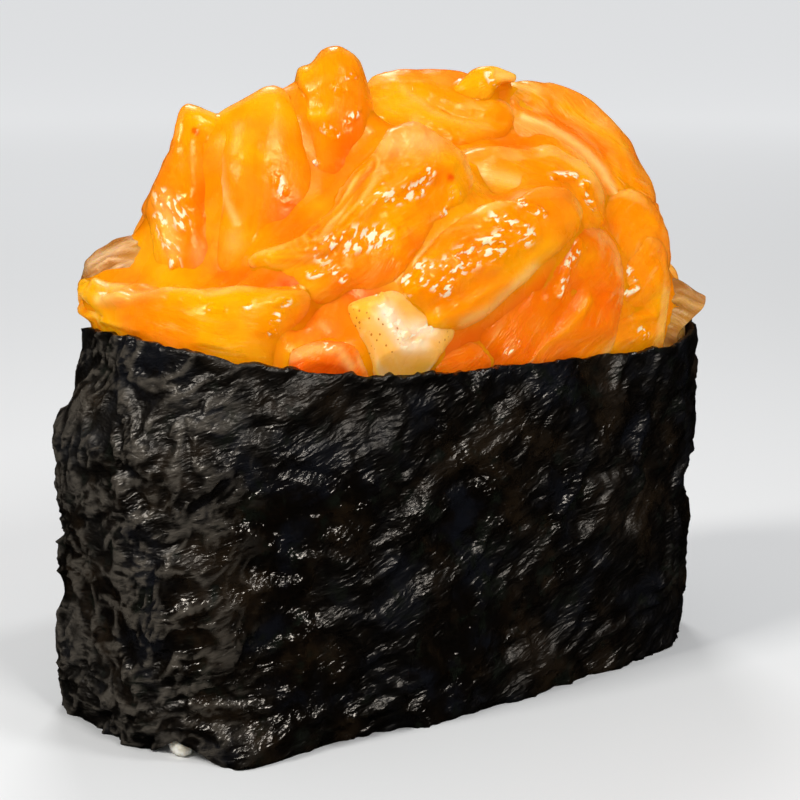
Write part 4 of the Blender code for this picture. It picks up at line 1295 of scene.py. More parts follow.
SLICES = (
    Slice("rim_pale_slice", 15.5, -0.7, -0.45, 4.0, 0.4,
          ((-4.0, 36.0), (-0.7, 37.2), (2.6, 35.6), (5.6, 33.8), (3.2, 30.6), (1.8, 29.0), (-0.8, 29.0)),
          slot=Slot.PALE, lumps=0.4, slack=0.2, fibre=0.3, strokes=PALE_SLICE_STROKES),
    Slice("rim_cube", 19.0, -0.75, -0.2, 4.0, 0.4,
          ((-8.2, 32.9), (-5.6, 33.6), (-3.0, 33.0), (-2.0, 28.5), (-8.5, 29.0)),
          slot=Slot.DEEP, lumps=0.5, slack=0.2, strokes=CUBE_STROKES),
    Slice("rim_chip", 12.0, -0.78, -0.2, 3.5, 0.3,
          ((2.2, 30.9), (3.8, 32.6), (6.2, 32.3), (8.4, 30.2), (8.2, 27.0), (2.4, 27.5)),
          slot=Slot.DEEP, lumps=0.5, slack=0.2),
    Slice("left_slab", 18.5, 0.65, -0.3, 6.0, 5.5,
          ((-26.3, 36.8), (-22.8, 37.3), (-19.0, 37.5), (-15.0, 37.4), (-12.0, 38.0), (-9.0, 37.8),
           (-6.8, 37.5), (-7.1, 35.8), (-8.4, 33.2), (-9.4, 28.0), (-13.0, 25.0), (-19.0, 25.0),
           (-24.6, 28.0), (-25.2, 32.6), (-26.8, 34.8)),
          grain=-8.0, lumps=0.7, slack=0.22, fibre=0.5, strokes=SLAB_STROKES),
    Slice("front_tongue", 8.2, -0.6, -0.7, 5.6, 1.6,
          ((-1.2, 35.9), (0.2, 37.9), (2.2, 39.8), (5.0, 41.6), (8.6, 42.9), (12.5, 43.9), (15.5, 43.6),
           (16.8, 41.4), (15.0, 38.6), (12.2, 37.4), (9.4, 35.2), (6.0, 33.6), (2.8, 33.2), (0.2, 34.2)),
          grain=28.0, roundness=7.0, slack=0.28, fibre=0.45, strokes=FRONT_TONGUE_STROKES),
    Slice("left_tongue", 11.5, -0.5, -0.6, 5.0, 1.3,
          ((-11.6, 39.9), (-8.4, 41.0), (-6.2, 42.6), (-4.2, 45.2), (-1.4, 48.3), (-0.6, 49.4), (2.0, 50.0),
           (4.0, 48.9), (6.4, 47.0), (7.0, 45.0), (5.8, 42.6), (3.0, 39.6), (0.4, 36.8), (-2.0, 35.8),
           (-6.0, 35.9), (-8.6, 37.0), (-10.4, 38.4)),
          grain=42.0, roundness=7.0, slack=0.24, fibre=0.7, strokes=LEFT_TONGUE_STROKES),
    Slice("rim_right_slice", 4.0, -0.75, -0.4, 7.0, 1.5,
          ((3.4, 32.2), (6.6, 34.8), (10.8, 37.8), (13.6, 40.0), (16.6, 41.0), (19.8, 38.6), (20.6, 34.0),
           (19.6, 30.0), (17.0, 27.0), (8.0, 26.5)),
          slot=Slot.DEEP, grain=50.0, slack=0.26, strokes=DEEP_SLICE_STROKES),
    Slice("right_fold", -4.0, -0.9, -0.45, 7.0, 1.3,
          ((15.2, 30.0), (17.5, 33.5), (19.0, 37.5), (22.0, 39.5), (24.6, 37.8), (25.0, 34.5), (24.4, 31.0),
           (23.4, 27.0), (18.0, 27.0)),
          grain=40.0, slack=0.28, strokes=FOLD_STROKES),
    Slice("right_end_strip", -8.8, -0.5, -0.4, 5.0, 0.6,
          ((22.4, 33.2), (25.0, 34.8), (28.0, 33.2), (31.3, 30.9), (28.6, 27.0), (22.0, 27.0)),
          slot=Slot.BROWN, grain=-25.0, fibre=2.0, slack=0.2, overhang=1.2, strokes=BROWN_RIGHT_STROKES),
    Slice("rim_filler", 14.5, -0.7, -0.3, 5.0, 0.5,
          ((-9.0, 34.5), (-7.0, 36.8), (-3.5, 37.4), (-1.0, 36.6), (-0.6, 33.0), (-1.0, 29.5),
           (-9.5, 29.5)),
          lumps=0.6, fibre=0.4, slack=0.24, strokes=FILLER_STROKES),
    Slice("right_petal", 9.6, 0.10, -0.3, 6.6, 0.7,
          ((-16.6, 47.6), (-14.8, 50.8), (-12.8, 51.9), (-10.6, 53.2), (-8.9, 52.9), (-7.4, 50.6),
           (-6.2, 46.5), (-5.4, 41.5), (-6.4, 36.5), (-10.0, 32.5), (-16.4, 32.5), (-17.6, 38.6),
           (-17.2, 43.0)),
          grain=84.0, lumps=0.6, fibre=0.15, strokes=PETAL_STROKES),
    Slice("left_petal", 9.9, 0.30, -0.3, 6.4, 2.7,
          ((-20.2, 40.8), (-21.1, 42.5), (-19.9, 45.0), (-18.1, 48.5), (-17.2, 51.7), (-15.4, 51.3),
           (-13.6, 50.2), (-12.6, 46.0), (-13.2, 40.0), (-14.6, 34.0), (-18.0, 32.6), (-19.9, 36.0)),
          grain=112.0, lumps=0.7, roundness=6.0, slack=0.26, fibre=0.15, strokes=PETAL_STROKES),
    Slice("tall_finger", 6.4, 0.0, -0.22, 7.4, 1.2,
          ((-8.4, 52.6), (-8.0, 54.7), (-6.9, 55.1), (-5.9, 56.2), (-4.5, 56.5), (-3.1, 55.7), (-2.2, 54.0),
           (-1.3, 51.0), (-0.9, 48.0), (-0.6, 44.0), (-2.0, 38.6), (-7.0, 35.5), (-10.4, 40.0),
           (-9.6, 48.0)),
          grain=85.0, roundness=4.5, slack=0.28, fibre=0.35, strokes=FINGER_STROKES),
    Slice("inner_right_slice", -0.4, -0.6, -0.8, 5.4, 1.8,
          ((1.5, 44.6), (4.0, 46.6), (7.5, 47.0), (11.0, 46.6), (14.5, 46.8), (17.8, 44.8), (19.4, 41.6),
           (18.2, 37.5), (14.0, 38.0), (6.0, 40.0)),
          grain=-18.0, roundness=6.0, slack=0.26, fibre=0.6, strokes=INNER_STROKES),
    Slice("right_cheek", -6.4, -0.9, -0.6, 5.4, 1.0,
          ((16.8, 41.8), (21.0, 42.8), (24.4, 41.2), (25.3, 37.5), (24.8, 34.0), (20.5, 33.2),
           (16.6, 36.0)),
          grain=60.0, roundness=7.0, slack=0.28, fibre=0.6, strokes=FOLD_STROKES),
    Slice("right_dome", -9.5, -0.55, -0.75, 8.0, 3.0,
          ((3.0, 48.5), (6.5, 51.6), (11.0, 52.1), (14.2, 51.9), (17.0, 50.8), (20.2, 48.3), (22.4, 46.0),
           (24.2, 42.8), (25.0, 39.5), (21.0, 36.0), (14.0, 39.0), (8.0, 43.0)),
          grain=-35.0, fibre=1.5, strokes=DOME_STROKES),
    Slice("top_slice", -6.0, -0.4, -1.3, 5.5, 1.0,
          ((-2.8, 50.5), (-2.4, 52.7), (0.2, 53.2), (2.8, 53.3), (5.0, 53.0), (9.5, 51.6), (12.0, 48.5),
           (8.5, 46.0), (3.0, 46.0), (-2.0, 47.0)),
          grain=-14.0, fibre=0.5, strokes=TOP_STROKES),
    Slice("top_curl", -7.0, -0.2, -0.2, 2.6, 0.2,
          ((5.2, 52.2), (6.4, 53.5), (7.6, 54.4), (9.2, 54.6), (10.6, 54.1), (11.5, 53.7), (11.4, 53.0),
           (10.0, 52.9), (9.5, 52.2), (8.6, 50.8), (6.2, 50.4)),
          grain=20.0, lumps=0.4, roundness=3.0, slack=0.26, strokes=CURL_STROKES),
    Slice("left_end_strip", 10.2, 0.2, -0.5, 4.6, 1.1,
          ((-26.6, 36.0), (-26.2, 38.1), (-24.6, 39.6), (-23.0, 40.4), (-19.8, 40.8), (-16.2, 38.6),
           (-17.0, 33.0), (-23.0, 31.0), (-25.4, 32.5)),
          slot=Slot.BROWN, grain=24.0, fibre=2.2, slack=0.2, strokes=BROWN_LEFT_STROKES),
    Slice("back_left_slab", 18.8, 0.45, -0.5, 7.0, 4.0,
          ((-27.0, 34.5), (-22.5, 38.5), (-15.0, 39.5), (-8.5, 37.0), (-8.0, 32.5), (-12.0, 29.0),
           (-20.0, 28.5), (-26.5, 30.5)),
          back=True, grain=-10.0, strokes=BACK_STROKES),
    Slice("back_low_tongue", 14.8, -0.6, -0.6, 7.0, 1.8,
          ((-9.5, 34.0), (-6.0, 38.5), (1.0, 39.5), (7.0, 36.5), (7.0, 31.0), (2.5, 28.0), (-6.0, 28.5)),
          back=True, grain=15.0, strokes=BACK_STROKES),
    Slice("back_right_fold", 4.5, -0.75, -0.55, 7.0, 1.8,
          ((6.5, 31.5), (8.5, 36.5), (14.0, 38.5), (20.0, 36.5), (21.5, 31.5), (18.0, 27.5), (9.0, 27.5)),
          back=True, slot=Slot.DEEP, grain=50.0, strokes=BACK_STROKES),
    Slice("back_end_chip", -3.0, -0.7, -0.4, 6.0, 0.8,
          ((18.5, 30.0), (20.5, 34.5), (24.0, 34.8), (26.5, 32.0), (25.0, 27.5), (19.5, 27.5)),
          back=True, grain=65.0),
    Slice("back_high_slice", 14.5, -0.3, -0.8, 8.0, 2.6,
          ((-23.5, 39.5), (-19.5, 45.5), (-12.5, 48.0), (-5.0, 46.0), (-4.0, 40.0), (-9.0, 36.5),
           (-18.0, 36.0)),
          back=True, grain=5.0, strokes=BACK_STROKES),
    Slice("back_crest_slice", 6.0, -0.55, -0.7, 8.0, 2.2,
          ((-5.0, 42.0), (-3.0, 48.0), (3.0, 50.0), (9.0, 48.5), (12.0, 43.5), (11.0, 38.0), (5.0, 36.5),
           (-2.5, 37.5)),
          back=True, grain=40.0, strokes=BACK_STROKES),
    Slice("back_shoulder_slice", -1.5, -0.55, -0.6, 7.0, 1.8,
          ((10.0, 41.0), (12.5, 46.0), (18.0, 45.5), (22.0, 40.0), (21.5, 35.0), (15.5, 34.0),
           (10.5, 36.5)),
          back=True, grain=60.0, strokes=BACK_STROKES),
)


# Making the salmon

def stroke_distance(places: Array, line: tuple) -> tuple:
    """Distance from flat places to a line of points, signed by its side, and how far along it they are.

    Args:
        places: Places across and up, one row each.
        line: Points of the line.

    Returns:
        The signed distances and the lengths along.
    """
    corners = np.array(line, dtype=float)
    best = np.full(len(places), 1e9)
    along = np.zeros(len(places))
    start = 0.0
    for here, after in zip(corners[:-1], corners[1:]):
        run = after - here
        length = float(np.hypot(*run))
        part = np.clip((places - here) @ run / length ** 2, 0.0, 1.0)
        offset = places - here - part[:, None] * run
        away = np.hypot(offset[:, 0], offset[:, 1])
        side = np.sign(run[0] * offset[:, 1] - run[1] * offset[:, 0])
        nearer = away < np.abs(best)
        best = np.where(nearer, away * np.where(side == 0.0, 1.0, side), best)
        along = np.where(nearer, start + part * length, along)
        start += length
    return best, along


@dataclass
class SalmonSlices:
    """The folded slices: each one an even skin over its pillow, with lumps and fibres."""

    band: BandShape
    facing: float = math.radians(38.0)
    sides: int = 96
    rings: int = 14
    curve_steps: int = 16
    voxel: float = 0.24
    back_voxel: float = 0.34
    skin_rounds: int = 4
    lump_size: float = 5.0
    lump_depth: float = 0.38
    fibre_length: float = 6.0
    fibre_width: float = 1.2
    fibre_layer: float = 3.0
    fibre_depth: float = 0.07
    wander: float = 0.9
    patch_size: float = 6.0
    patch_gain: float = 1.6
    bead_size: float = 0.95
    bead_depth: float = 0.15
    edge_start: float = 0.95
    edge_width: float = 0.05
    rim_rise: float = 2.6
    side_facing: float = -0.1
    front_facing: float = 0.3
    hollow_rounds: int = 34
    near_rounds: int = 3
    hollow_start: float = 0.04
    hollow_full: float = 0.55
    crest_start: float = 0.15
    crest_full: float = 0.5
    froth_length: float = 1.5
    froth_width: float = 0.6
    froth_depth: float = 0.25
    froth_contrast: float = 2.0
    froth_sink: float = 0.5
    strand_length: float = 3.5
    strand_width: float = 0.42
    strand_depth: float = 0.16
    strand_contrast: float = 2.2
    strand_fat: float = 0.6
    strand_stain: float = 0.5
    seed_step: int = 100
    seed: int = 17

    def smooth_outline(self, shape: Slice) -> Array:
        """Evenly spaced points on a closed smooth curve through the outline's corners."""
        corners = np.array(shape.outline, dtype=float)
        fine = []
        for number in range(len(corners)):
            near = [(number + shift) % len(corners) for shift in (-1, 0, 1, 2)]
            before, here, after, beyond = corners[near]
            leave = shape.slack * (after - before)
            arrive = shape.slack * (beyond - here)
            for step in range(self.curve_steps):
                part = step / self.curve_steps
                fine.append(here + leave * part + (3 * (after - here) - 2 * leave - arrive) * part ** 2
                            + (2 * (here - after) + leave + arrive) * part ** 3)
        fine = np.array(fine)
        ends = np.vstack([fine, fine[:1]])
        length = np.concatenate([[0.0], np.cumsum(np.hypot(*np.diff(ends, axis=0).T))])
        want = np.arange(self.sides) / self.sides * length[-1]
        return np.column_stack([np.interp(want, length, ends[:, axis]) for axis in (0, 1)])

    def directions(self, shape: Slice) -> Array:
        """Across, towards and up of a slice's view, as rows."""
        side = -1.0 if shape.back else 1.0
        cosine, sine = math.cos(self.facing), math.sin(self.facing)
        return np.array([[side * cosine, -side * sine, 0.0],
                         [-side * sine, -side * cosine, 0.0],
                         [0.0, 0.0, 1.0]])

    def pillow(self, shape: Slice) -> Thing:
        """The plain slice: a pillow with a rounded edge on its outline."""
        outline = self.smooth_outline(shape)
        centre = outline.mean(axis=0)
        reach = np.abs(outline - centre).max(axis=0)
        normal = np.array([-shape.turn, 1.0, -shape.lean])
        normal /= np.linalg.norm(normal)
        turn = self.directions(shape)
        half = shape.thickness / 2

        def place(flat: Array, lift: float) -> Array:
            """Points of the slice's flat plan, put where the slice lies."""
            offset = flat - centre
            depth = shape.depth + shape.turn * offset[:, 0] + shape.lean * offset[:, 1]
            sag = shape.bow * (offset[:, 0] / reach[0]) ** 2
            return (np.column_stack([flat[:, 0], depth - sag, flat[:, 1]]) + lift * normal) @ turn

        ratios = np.sin(np.linspace(0.0, math.pi / 2, self.rings + 1))[1:]
        rows = []
        for face, order in ((1.0, ratios), (-1.0, ratios[-2::-1])):
            for ratio in order:
                rise = half * max(0.0, 1.0 - ratio ** shape.roundness) ** 0.5
                rows.append(place(centre + (outline - centre) * ratio, face * rise))
        tips = [place(centre[None, :], face * half) for face in (1.0, -1.0)]
        points = np.vstack([*rows, *tips])
        count = self.sides
        faces = []
        for row in range(len(rows) - 1):
            for side in range(count):
                after = (side + 1) % count
                faces.append((row * count + side, (row + 1) * count + side, (row + 1) * count + after,
                              row * count + after))
        first, last = len(points) - 2, len(points) - 1
        for side in range(count):
            after = (side + 1) % count
            faces.append((first, side, after))
            faces.append((last, (len(rows) - 1) * count + after, (len(rows) - 1) * count + side))
        mesh = mesh_of(shape.name, points, faces)
        if self.volume(mesh) < 0.0:
            mesh.flip_normals()
        return link_object("flesh_" + shape.name, mesh)

    def volume(self, mesh: Mesh) -> float:
        """Signed volume of a closed mesh."""
        points = read_points(mesh)
        total = 0.0
        for face in mesh.polygons:
            corners = points[list(face.vertices)]
            for number in range(1, len(corners) - 1):
                total += np.dot(corners[0], np.cross(corners[number], corners[number + 1]))
        return total

    def roughen(self, shape: Slice, thing: Thing, seed: int) -> None:
        """Give a slice its lumps, fibres and beads of sauce, and keep it in the band."""
        mesh = thing.data
        points = read_points(mesh)
        flat = points @ self.directions(shape).T
        outline = self.smooth_outline(shape)
        centre = outline.mean(axis=0)
        offset = flat[:, [0, 2]] - centre
        rim = outline - centre
        rim_angle = np.arctan2(rim[:, 1], rim[:, 0])
        order = np.argsort(rim_angle)
        rim_reach = np.interp(np.arctan2(offset[:, 1], offset[:, 0]), rim_angle[order],
                              np.hypot(rim[:, 0], rim[:, 1])[order], period=2 * math.pi)
        ratio = np.hypot(offset[:, 0], offset[:, 1]) / rim_reach
        angle = math.radians(shape.grain)
        along = offset[:, 0] * math.cos(angle) + offset[:, 1] * math.sin(angle)
        beside = offset[:, 1] * math.cos(angle) - offset[:, 0] * math.sin(angle)
        beside = beside + self.wander * gradient_noise(points / self.patch_size, seed + 3)
        fibre = gradient_noise(np.column_stack([along / self.fibre_length, beside / self.fibre_width,
                                                flat[:, 1] / self.fibre_layer]), seed + 5)
        lump = layered_noise(points / self.lump_size, seed, 2)
        patch = smooth_step(0.5 + self.patch_gain * gradient_noise(points / self.patch_size, seed + 21))
        bead = np.maximum(gradient_noise(points / self.bead_size, seed + 13), 0.0) * patch
        lift = shape.lumps * self.lump_depth * lump + shape.fibre * self.fibre_depth * fibre
        lift += self.bead_depth * bead
        moved = points + read_normals(mesh) * (lift + self.mark(shape, mesh, seed))[:, None]
        write_points(mesh, self.band.hold_in(moved, shape.overhang, self.rim_rise))
        write_vectors(mesh, "weave", np.column_stack([along, beside, flat[:, 1]]))
        # Pale band at the outline: a painted glow of the thin edge, partly the sauce gathered there.
        write_values(mesh, "edge", smooth_step((ratio - self.edge_start) / self.edge_width))

    def mark(self, shape: Slice, mesh: Mesh, seed: int) -> Array:
        """Keep what a slice's strokes do on its mesh, and return how far they lift each place."""
        turn = self.directions(shape)
        marks = self.draw_strokes(shape, read_points(mesh) @ turn.T, read_normals(mesh) @ turn[1], seed)
        lift = marks.pop("lift")
        for name, values in marks.items():
            write_values(mesh, name, values)
        write_values(mesh, "fibres", np.full(len(lift), shape.fibre))
        return lift

    def draw_strokes(self, shape: Slice, flat: Array, facing: Array, seed: int) -> dict:
        """Work out what a slice's strokes do at each place.

        Args:
            shape: The slice.
            flat: Places across, towards and up.
            facing: How far each place faces the front.
            seed: Number that picks the pattern.

        Returns:
            The lift in millimetres and the colour marks by name, painted shade and painted glow among them,
            one value for each place.
        """
        found = {name: np.zeros(len(flat)) for name in ("lift", "fat", "gold_and_glow", "stain_and_shade", "froth", "specks")}
        front = smooth_step((facing - self.side_facing) / (self.front_facing - self.side_facing))

        def stain_and_shade(name: str, much: Array) -> None:
            """Let a named mark cover each place by at least so much; stains with their painted shade are one
            such mark.
            """
            found[name] = np.maximum(found[name], much)

        for number, stroke in enumerate(shape.strokes):
            away, along = stroke_distance(flat[:, [0, 2]], stroke.line)
            fade = np.exp(-(away / stroke.width) ** 2) * front
            much = stroke.strength * fade
            if stroke.touch is RIDGE:
                found["lift"] += much
            elif stroke.touch is GROOVE:
                found["lift"] -= much
            elif stroke.touch is FROTH:
                runs = np.column_stack([along / self.froth_length, away / self.froth_width,
                                        flat[:, 1] / self.froth_length])
                grain = gradient_noise(runs, seed + number)
                grain = np.abs(grain) * self.froth_contrast - self.froth_sink
                found["lift"] += self.froth_depth * stroke.strength * fade * grain
                stain_and_shade("froth", fade)
            elif stroke.touch is FIBRES:
                runs = np.column_stack([along / self.strand_length, away / self.strand_width,
                                        flat[:, 1] / self.strand_length])
                grain = gradient_noise(runs, seed + number)
                found["lift"] += self.strand_depth * stroke.strength * fade * grain
                grain = self.strand_contrast * grain
                stain_and_shade("fat", self.strand_fat * stroke.strength * fade * smooth_step(grain))
                stain_and_shade("stain_and_shade", self.strand_stain * stroke.strength * fade * smooth_step(-grain))
            else:
                # Fat, golden patches with their painted glow, real specks, and stains with their painted
                # shade.
                stain_and_shade(stroke.touch.value, np.minimum(much, 1.0))
        return found

    def mark_hollows(self, things: list, skin: Thing) -> None:
        """Keep how hollow or how crested the joined skin is near each place of the pieces, which the
        materials paint as shade in the hollows and as highlights on the crests.

        Args:
            things: The pieces to mark.
            skin: The skin over all of them.
        """
        points = read_points(skin.data)
        spread = np.column_stack([blur_values(skin.data, points[:, axis], self.hollow_rounds)
                                  for axis in range(3)])
        hollow = np.einsum("ij,ij->i", spread - points, read_normals(skin.data))
        tree = KDTree(len(points))
        for number, place in enumerate(points.tolist()):
            tree.insert(place, number)
        tree.balance()
        for thing in things:
            near = [tree.find(place)[1] for place in read_points(thing.data).tolist()]
            value = blur_values(thing.data, hollow[near], self.near_rounds)
            # Painted shade: how deep each place lies in a hollow of the joined skin.
            write_values(thing.data, "crevice_shade", smooth_step((value - self.hollow_start) / self.hollow_full))
            # Painted highlight: how far each place stands out on a crest.
            write_values(thing.data, "crest_highlight", smooth_step((-value - self.crest_start) / self.crest_full))

    def build(self) -> list:
        """Make every slice."""
        made = []
        for number, shape in enumerate(SLICES):
            thing = self.pillow(shape)
            remesh(thing, self.back_voxel if shape.back else self.voxel, self.skin_rounds)
            self.roughen(shape, thing, self.seed_step * number + self.seed)
            made.append(thing)
        return made


@dataclass
class SalmonHeap:
    """The mass of salmon under the slices, which fills the valleys between them."""

    band: BandShape
    levels: tuple = (22.3, 27.0, 30.0, 33.0, 36.0, 39.0, 42.0, 45.0)
    clear: float = 0.2
    top: float = 46.5
    shoulder: float = 27.0
    end_loss: float = 0.55
    side_loss: float = 0.92
    side_power: float = 0.8
    columns: int = 120
    voxel: float = 0.7
    fine_voxel: float = 0.42
    rounds: tuple = (2, 3, 5)
    swell: float = 2.3
    sunk: float = 0.36
    lump_size: float = 5.0
    lump_depth: float = 0.22
    lump_seed: int = 3
    stroke_seed: int = 5
    overhang: float = -0.3
    rim_rise: float = 2.8

    def core(self) -> Thing:
        """The plain mound that fills the middle."""
        band = self.band
        share = np.arange(self.columns) / self.columns
        rows = []
        for height in self.levels:
            inset = band.inner_limit(share, min(height, band.height)) + self.clear
            x, y = band.oval(band.plan_angle(share), inset)
            rise = max(0.0, (height - self.shoulder) / (self.top - self.shoulder))
            long_share = 1.0 - self.end_loss * rise
            wide_share = 1.0 - self.side_loss * rise ** self.side_power
            rows.append(np.column_stack([x * long_share, y * wide_share, np.full(len(x), height)]))
        return link_object("heap_core", ring_mesh("heap", rows, self.levels[0], self.top))

    def build(self, maker: SalmonSlices, slices: list) -> Thing:
        """Make the heap, and let it rise to just under the slices' outer faces."""
        core = self.core()
        thing = joined_copy("flesh_heap", [core, *slices])
        bpy.data.objects.remove(core, do_unlink=True)
        for rounds, growth in zip(self.rounds, (self.swell, -self.swell - self.sunk)):
            remesh(thing, self.voxel, rounds)
            grow(thing, growth)
        remesh(thing, self.fine_voxel, self.rounds[-1])
        mesh = thing.data
        points = read_points(mesh)
        normals = read_normals(mesh)
        lump = layered_noise(points / self.lump_size, self.lump_seed, 2)
        moved = points + normals * (self.lump_depth * lump)[:, None]
        moved[:, 2] = np.maximum(moved[:, 2], self.levels[0])
        moved += normals * maker.mark(HEAP_SHAPE, mesh, self.stroke_seed)[:, None]
        write_values(mesh, "edge", np.zeros(len(points)))
        write_points(mesh, self.band.hold_in(moved, self.overhang, self.rim_rise))
        write_vectors(mesh, "weave", points)
        return thing


# The sauce

@dataclass
class Sauce:
    """The thin sauce that fills the creases between the slices."""

    voxel: float = 0.4
    swell: float = 0.38
    shrink: float = 0.56
    rounds: tuple = (1, 2, 3)
    overhang: float = -0.25
    rim_rise: float = 2.6

    def build(self, things: list, band: BandShape) -> Thing:
        """Close the creases of the joined pieces with a smooth skin."""
        sauce = joined_copy("sauce", things)
        for rounds, growth in zip(self.rounds, (self.swell, -self.shrink)):
            remesh(sauce, self.voxel, rounds)
            grow(sauce, growth)
        smooth_skin(sauce, self.rounds[-1])
        write_points(sauce.data, band.hold_in(read_points(sauce.data), self.overhang, self.rim_rise))
        return sauce


@dataclass(frozen=True)
class SauceFinish:
    """Golden translucent sauce, with painted shade in its creases."""

    colour: tuple = (1.0, 0.27, 0.0008, 1.0)
    # Colour of the painted shade in the creases.
    deep: tuple = (0.90, 0.07, 0.0004, 1.0)
    deep_share: float = 0.9
    patch_scale: float = 140.0
    patch: tuple = (0.3, 0.7, 0.12, 0.26)
    subsurface: float = 0.5
    radius: tuple = (1.0, 0.35, 0.06)
    reach: float = 0.002
    gloss: float = 0.35
    sheen: tuple = (1.0, 0.76, 0.36, 1.0)

    def material(self) -> bpy.types.Material:
        """Build the material."""
        material, wires, shader = start_material("sauce")
        # Painted shade: the deep colour in the creases.
        deep = wires.times(wires.value_of("crevice_shade"), self.deep_share)
        cloud = wires.noise(wires.object_place(), self.patch_scale, 3.0)
        wires.fill(shader, Base_Color=wires.mix(deep, self.colour, self.deep),
                   Roughness=wires.span(cloud, *self.patch), Specular_IOR_Level=self.gloss,
                   Specular_Tint=self.sheen, Subsurface_Weight=self.subsurface,
                   Subsurface_Radius=self.radius, Subsurface_Scale=self.reach)
        return material


# The pressed rice

@dataclass(frozen=True)
class RiceFinish:
    """Cooked rice, off-white and slightly see-through."""

    white: tuple = (0.86, 0.83, 0.74, 1.0)
    shade: tuple = (0.70, 0.66, 0.55, 1.0)
    cloud_scale: float = 500.0
    shaded: tuple = (0.4, 0.65)
    gloss: tuple = (0.3, 0.7, 0.3, 0.5)
    bump: float = 0.3
    bump_height: float = 0.0001
    subsurface: float = 0.3
    radius: tuple = (1.0, 0.8, 0.6)
    reach: float = 0.0012

    def material(self) -> bpy.types.Material:
        """Build the material."""
        material, wires, shader = start_material("rice")
        cloud = wires.noise(wires.object_place(), self.cloud_scale, 3.0)
        bump = wires.add("ShaderNodeBump", Strength=self.bump, Distance=self.bump_height, Height=cloud)
        wires.fill(shader, Base_Color=wires.mix(wires.span(cloud, *self.shaded), self.white, self.shade),
                   Roughness=wires.span(cloud, *self.gloss), Normal=bump.outputs[0],
                   Subsurface_Weight=self.subsurface, Subsurface_Radius=self.radius,
                   Subsurface_Scale=self.reach)
        return material


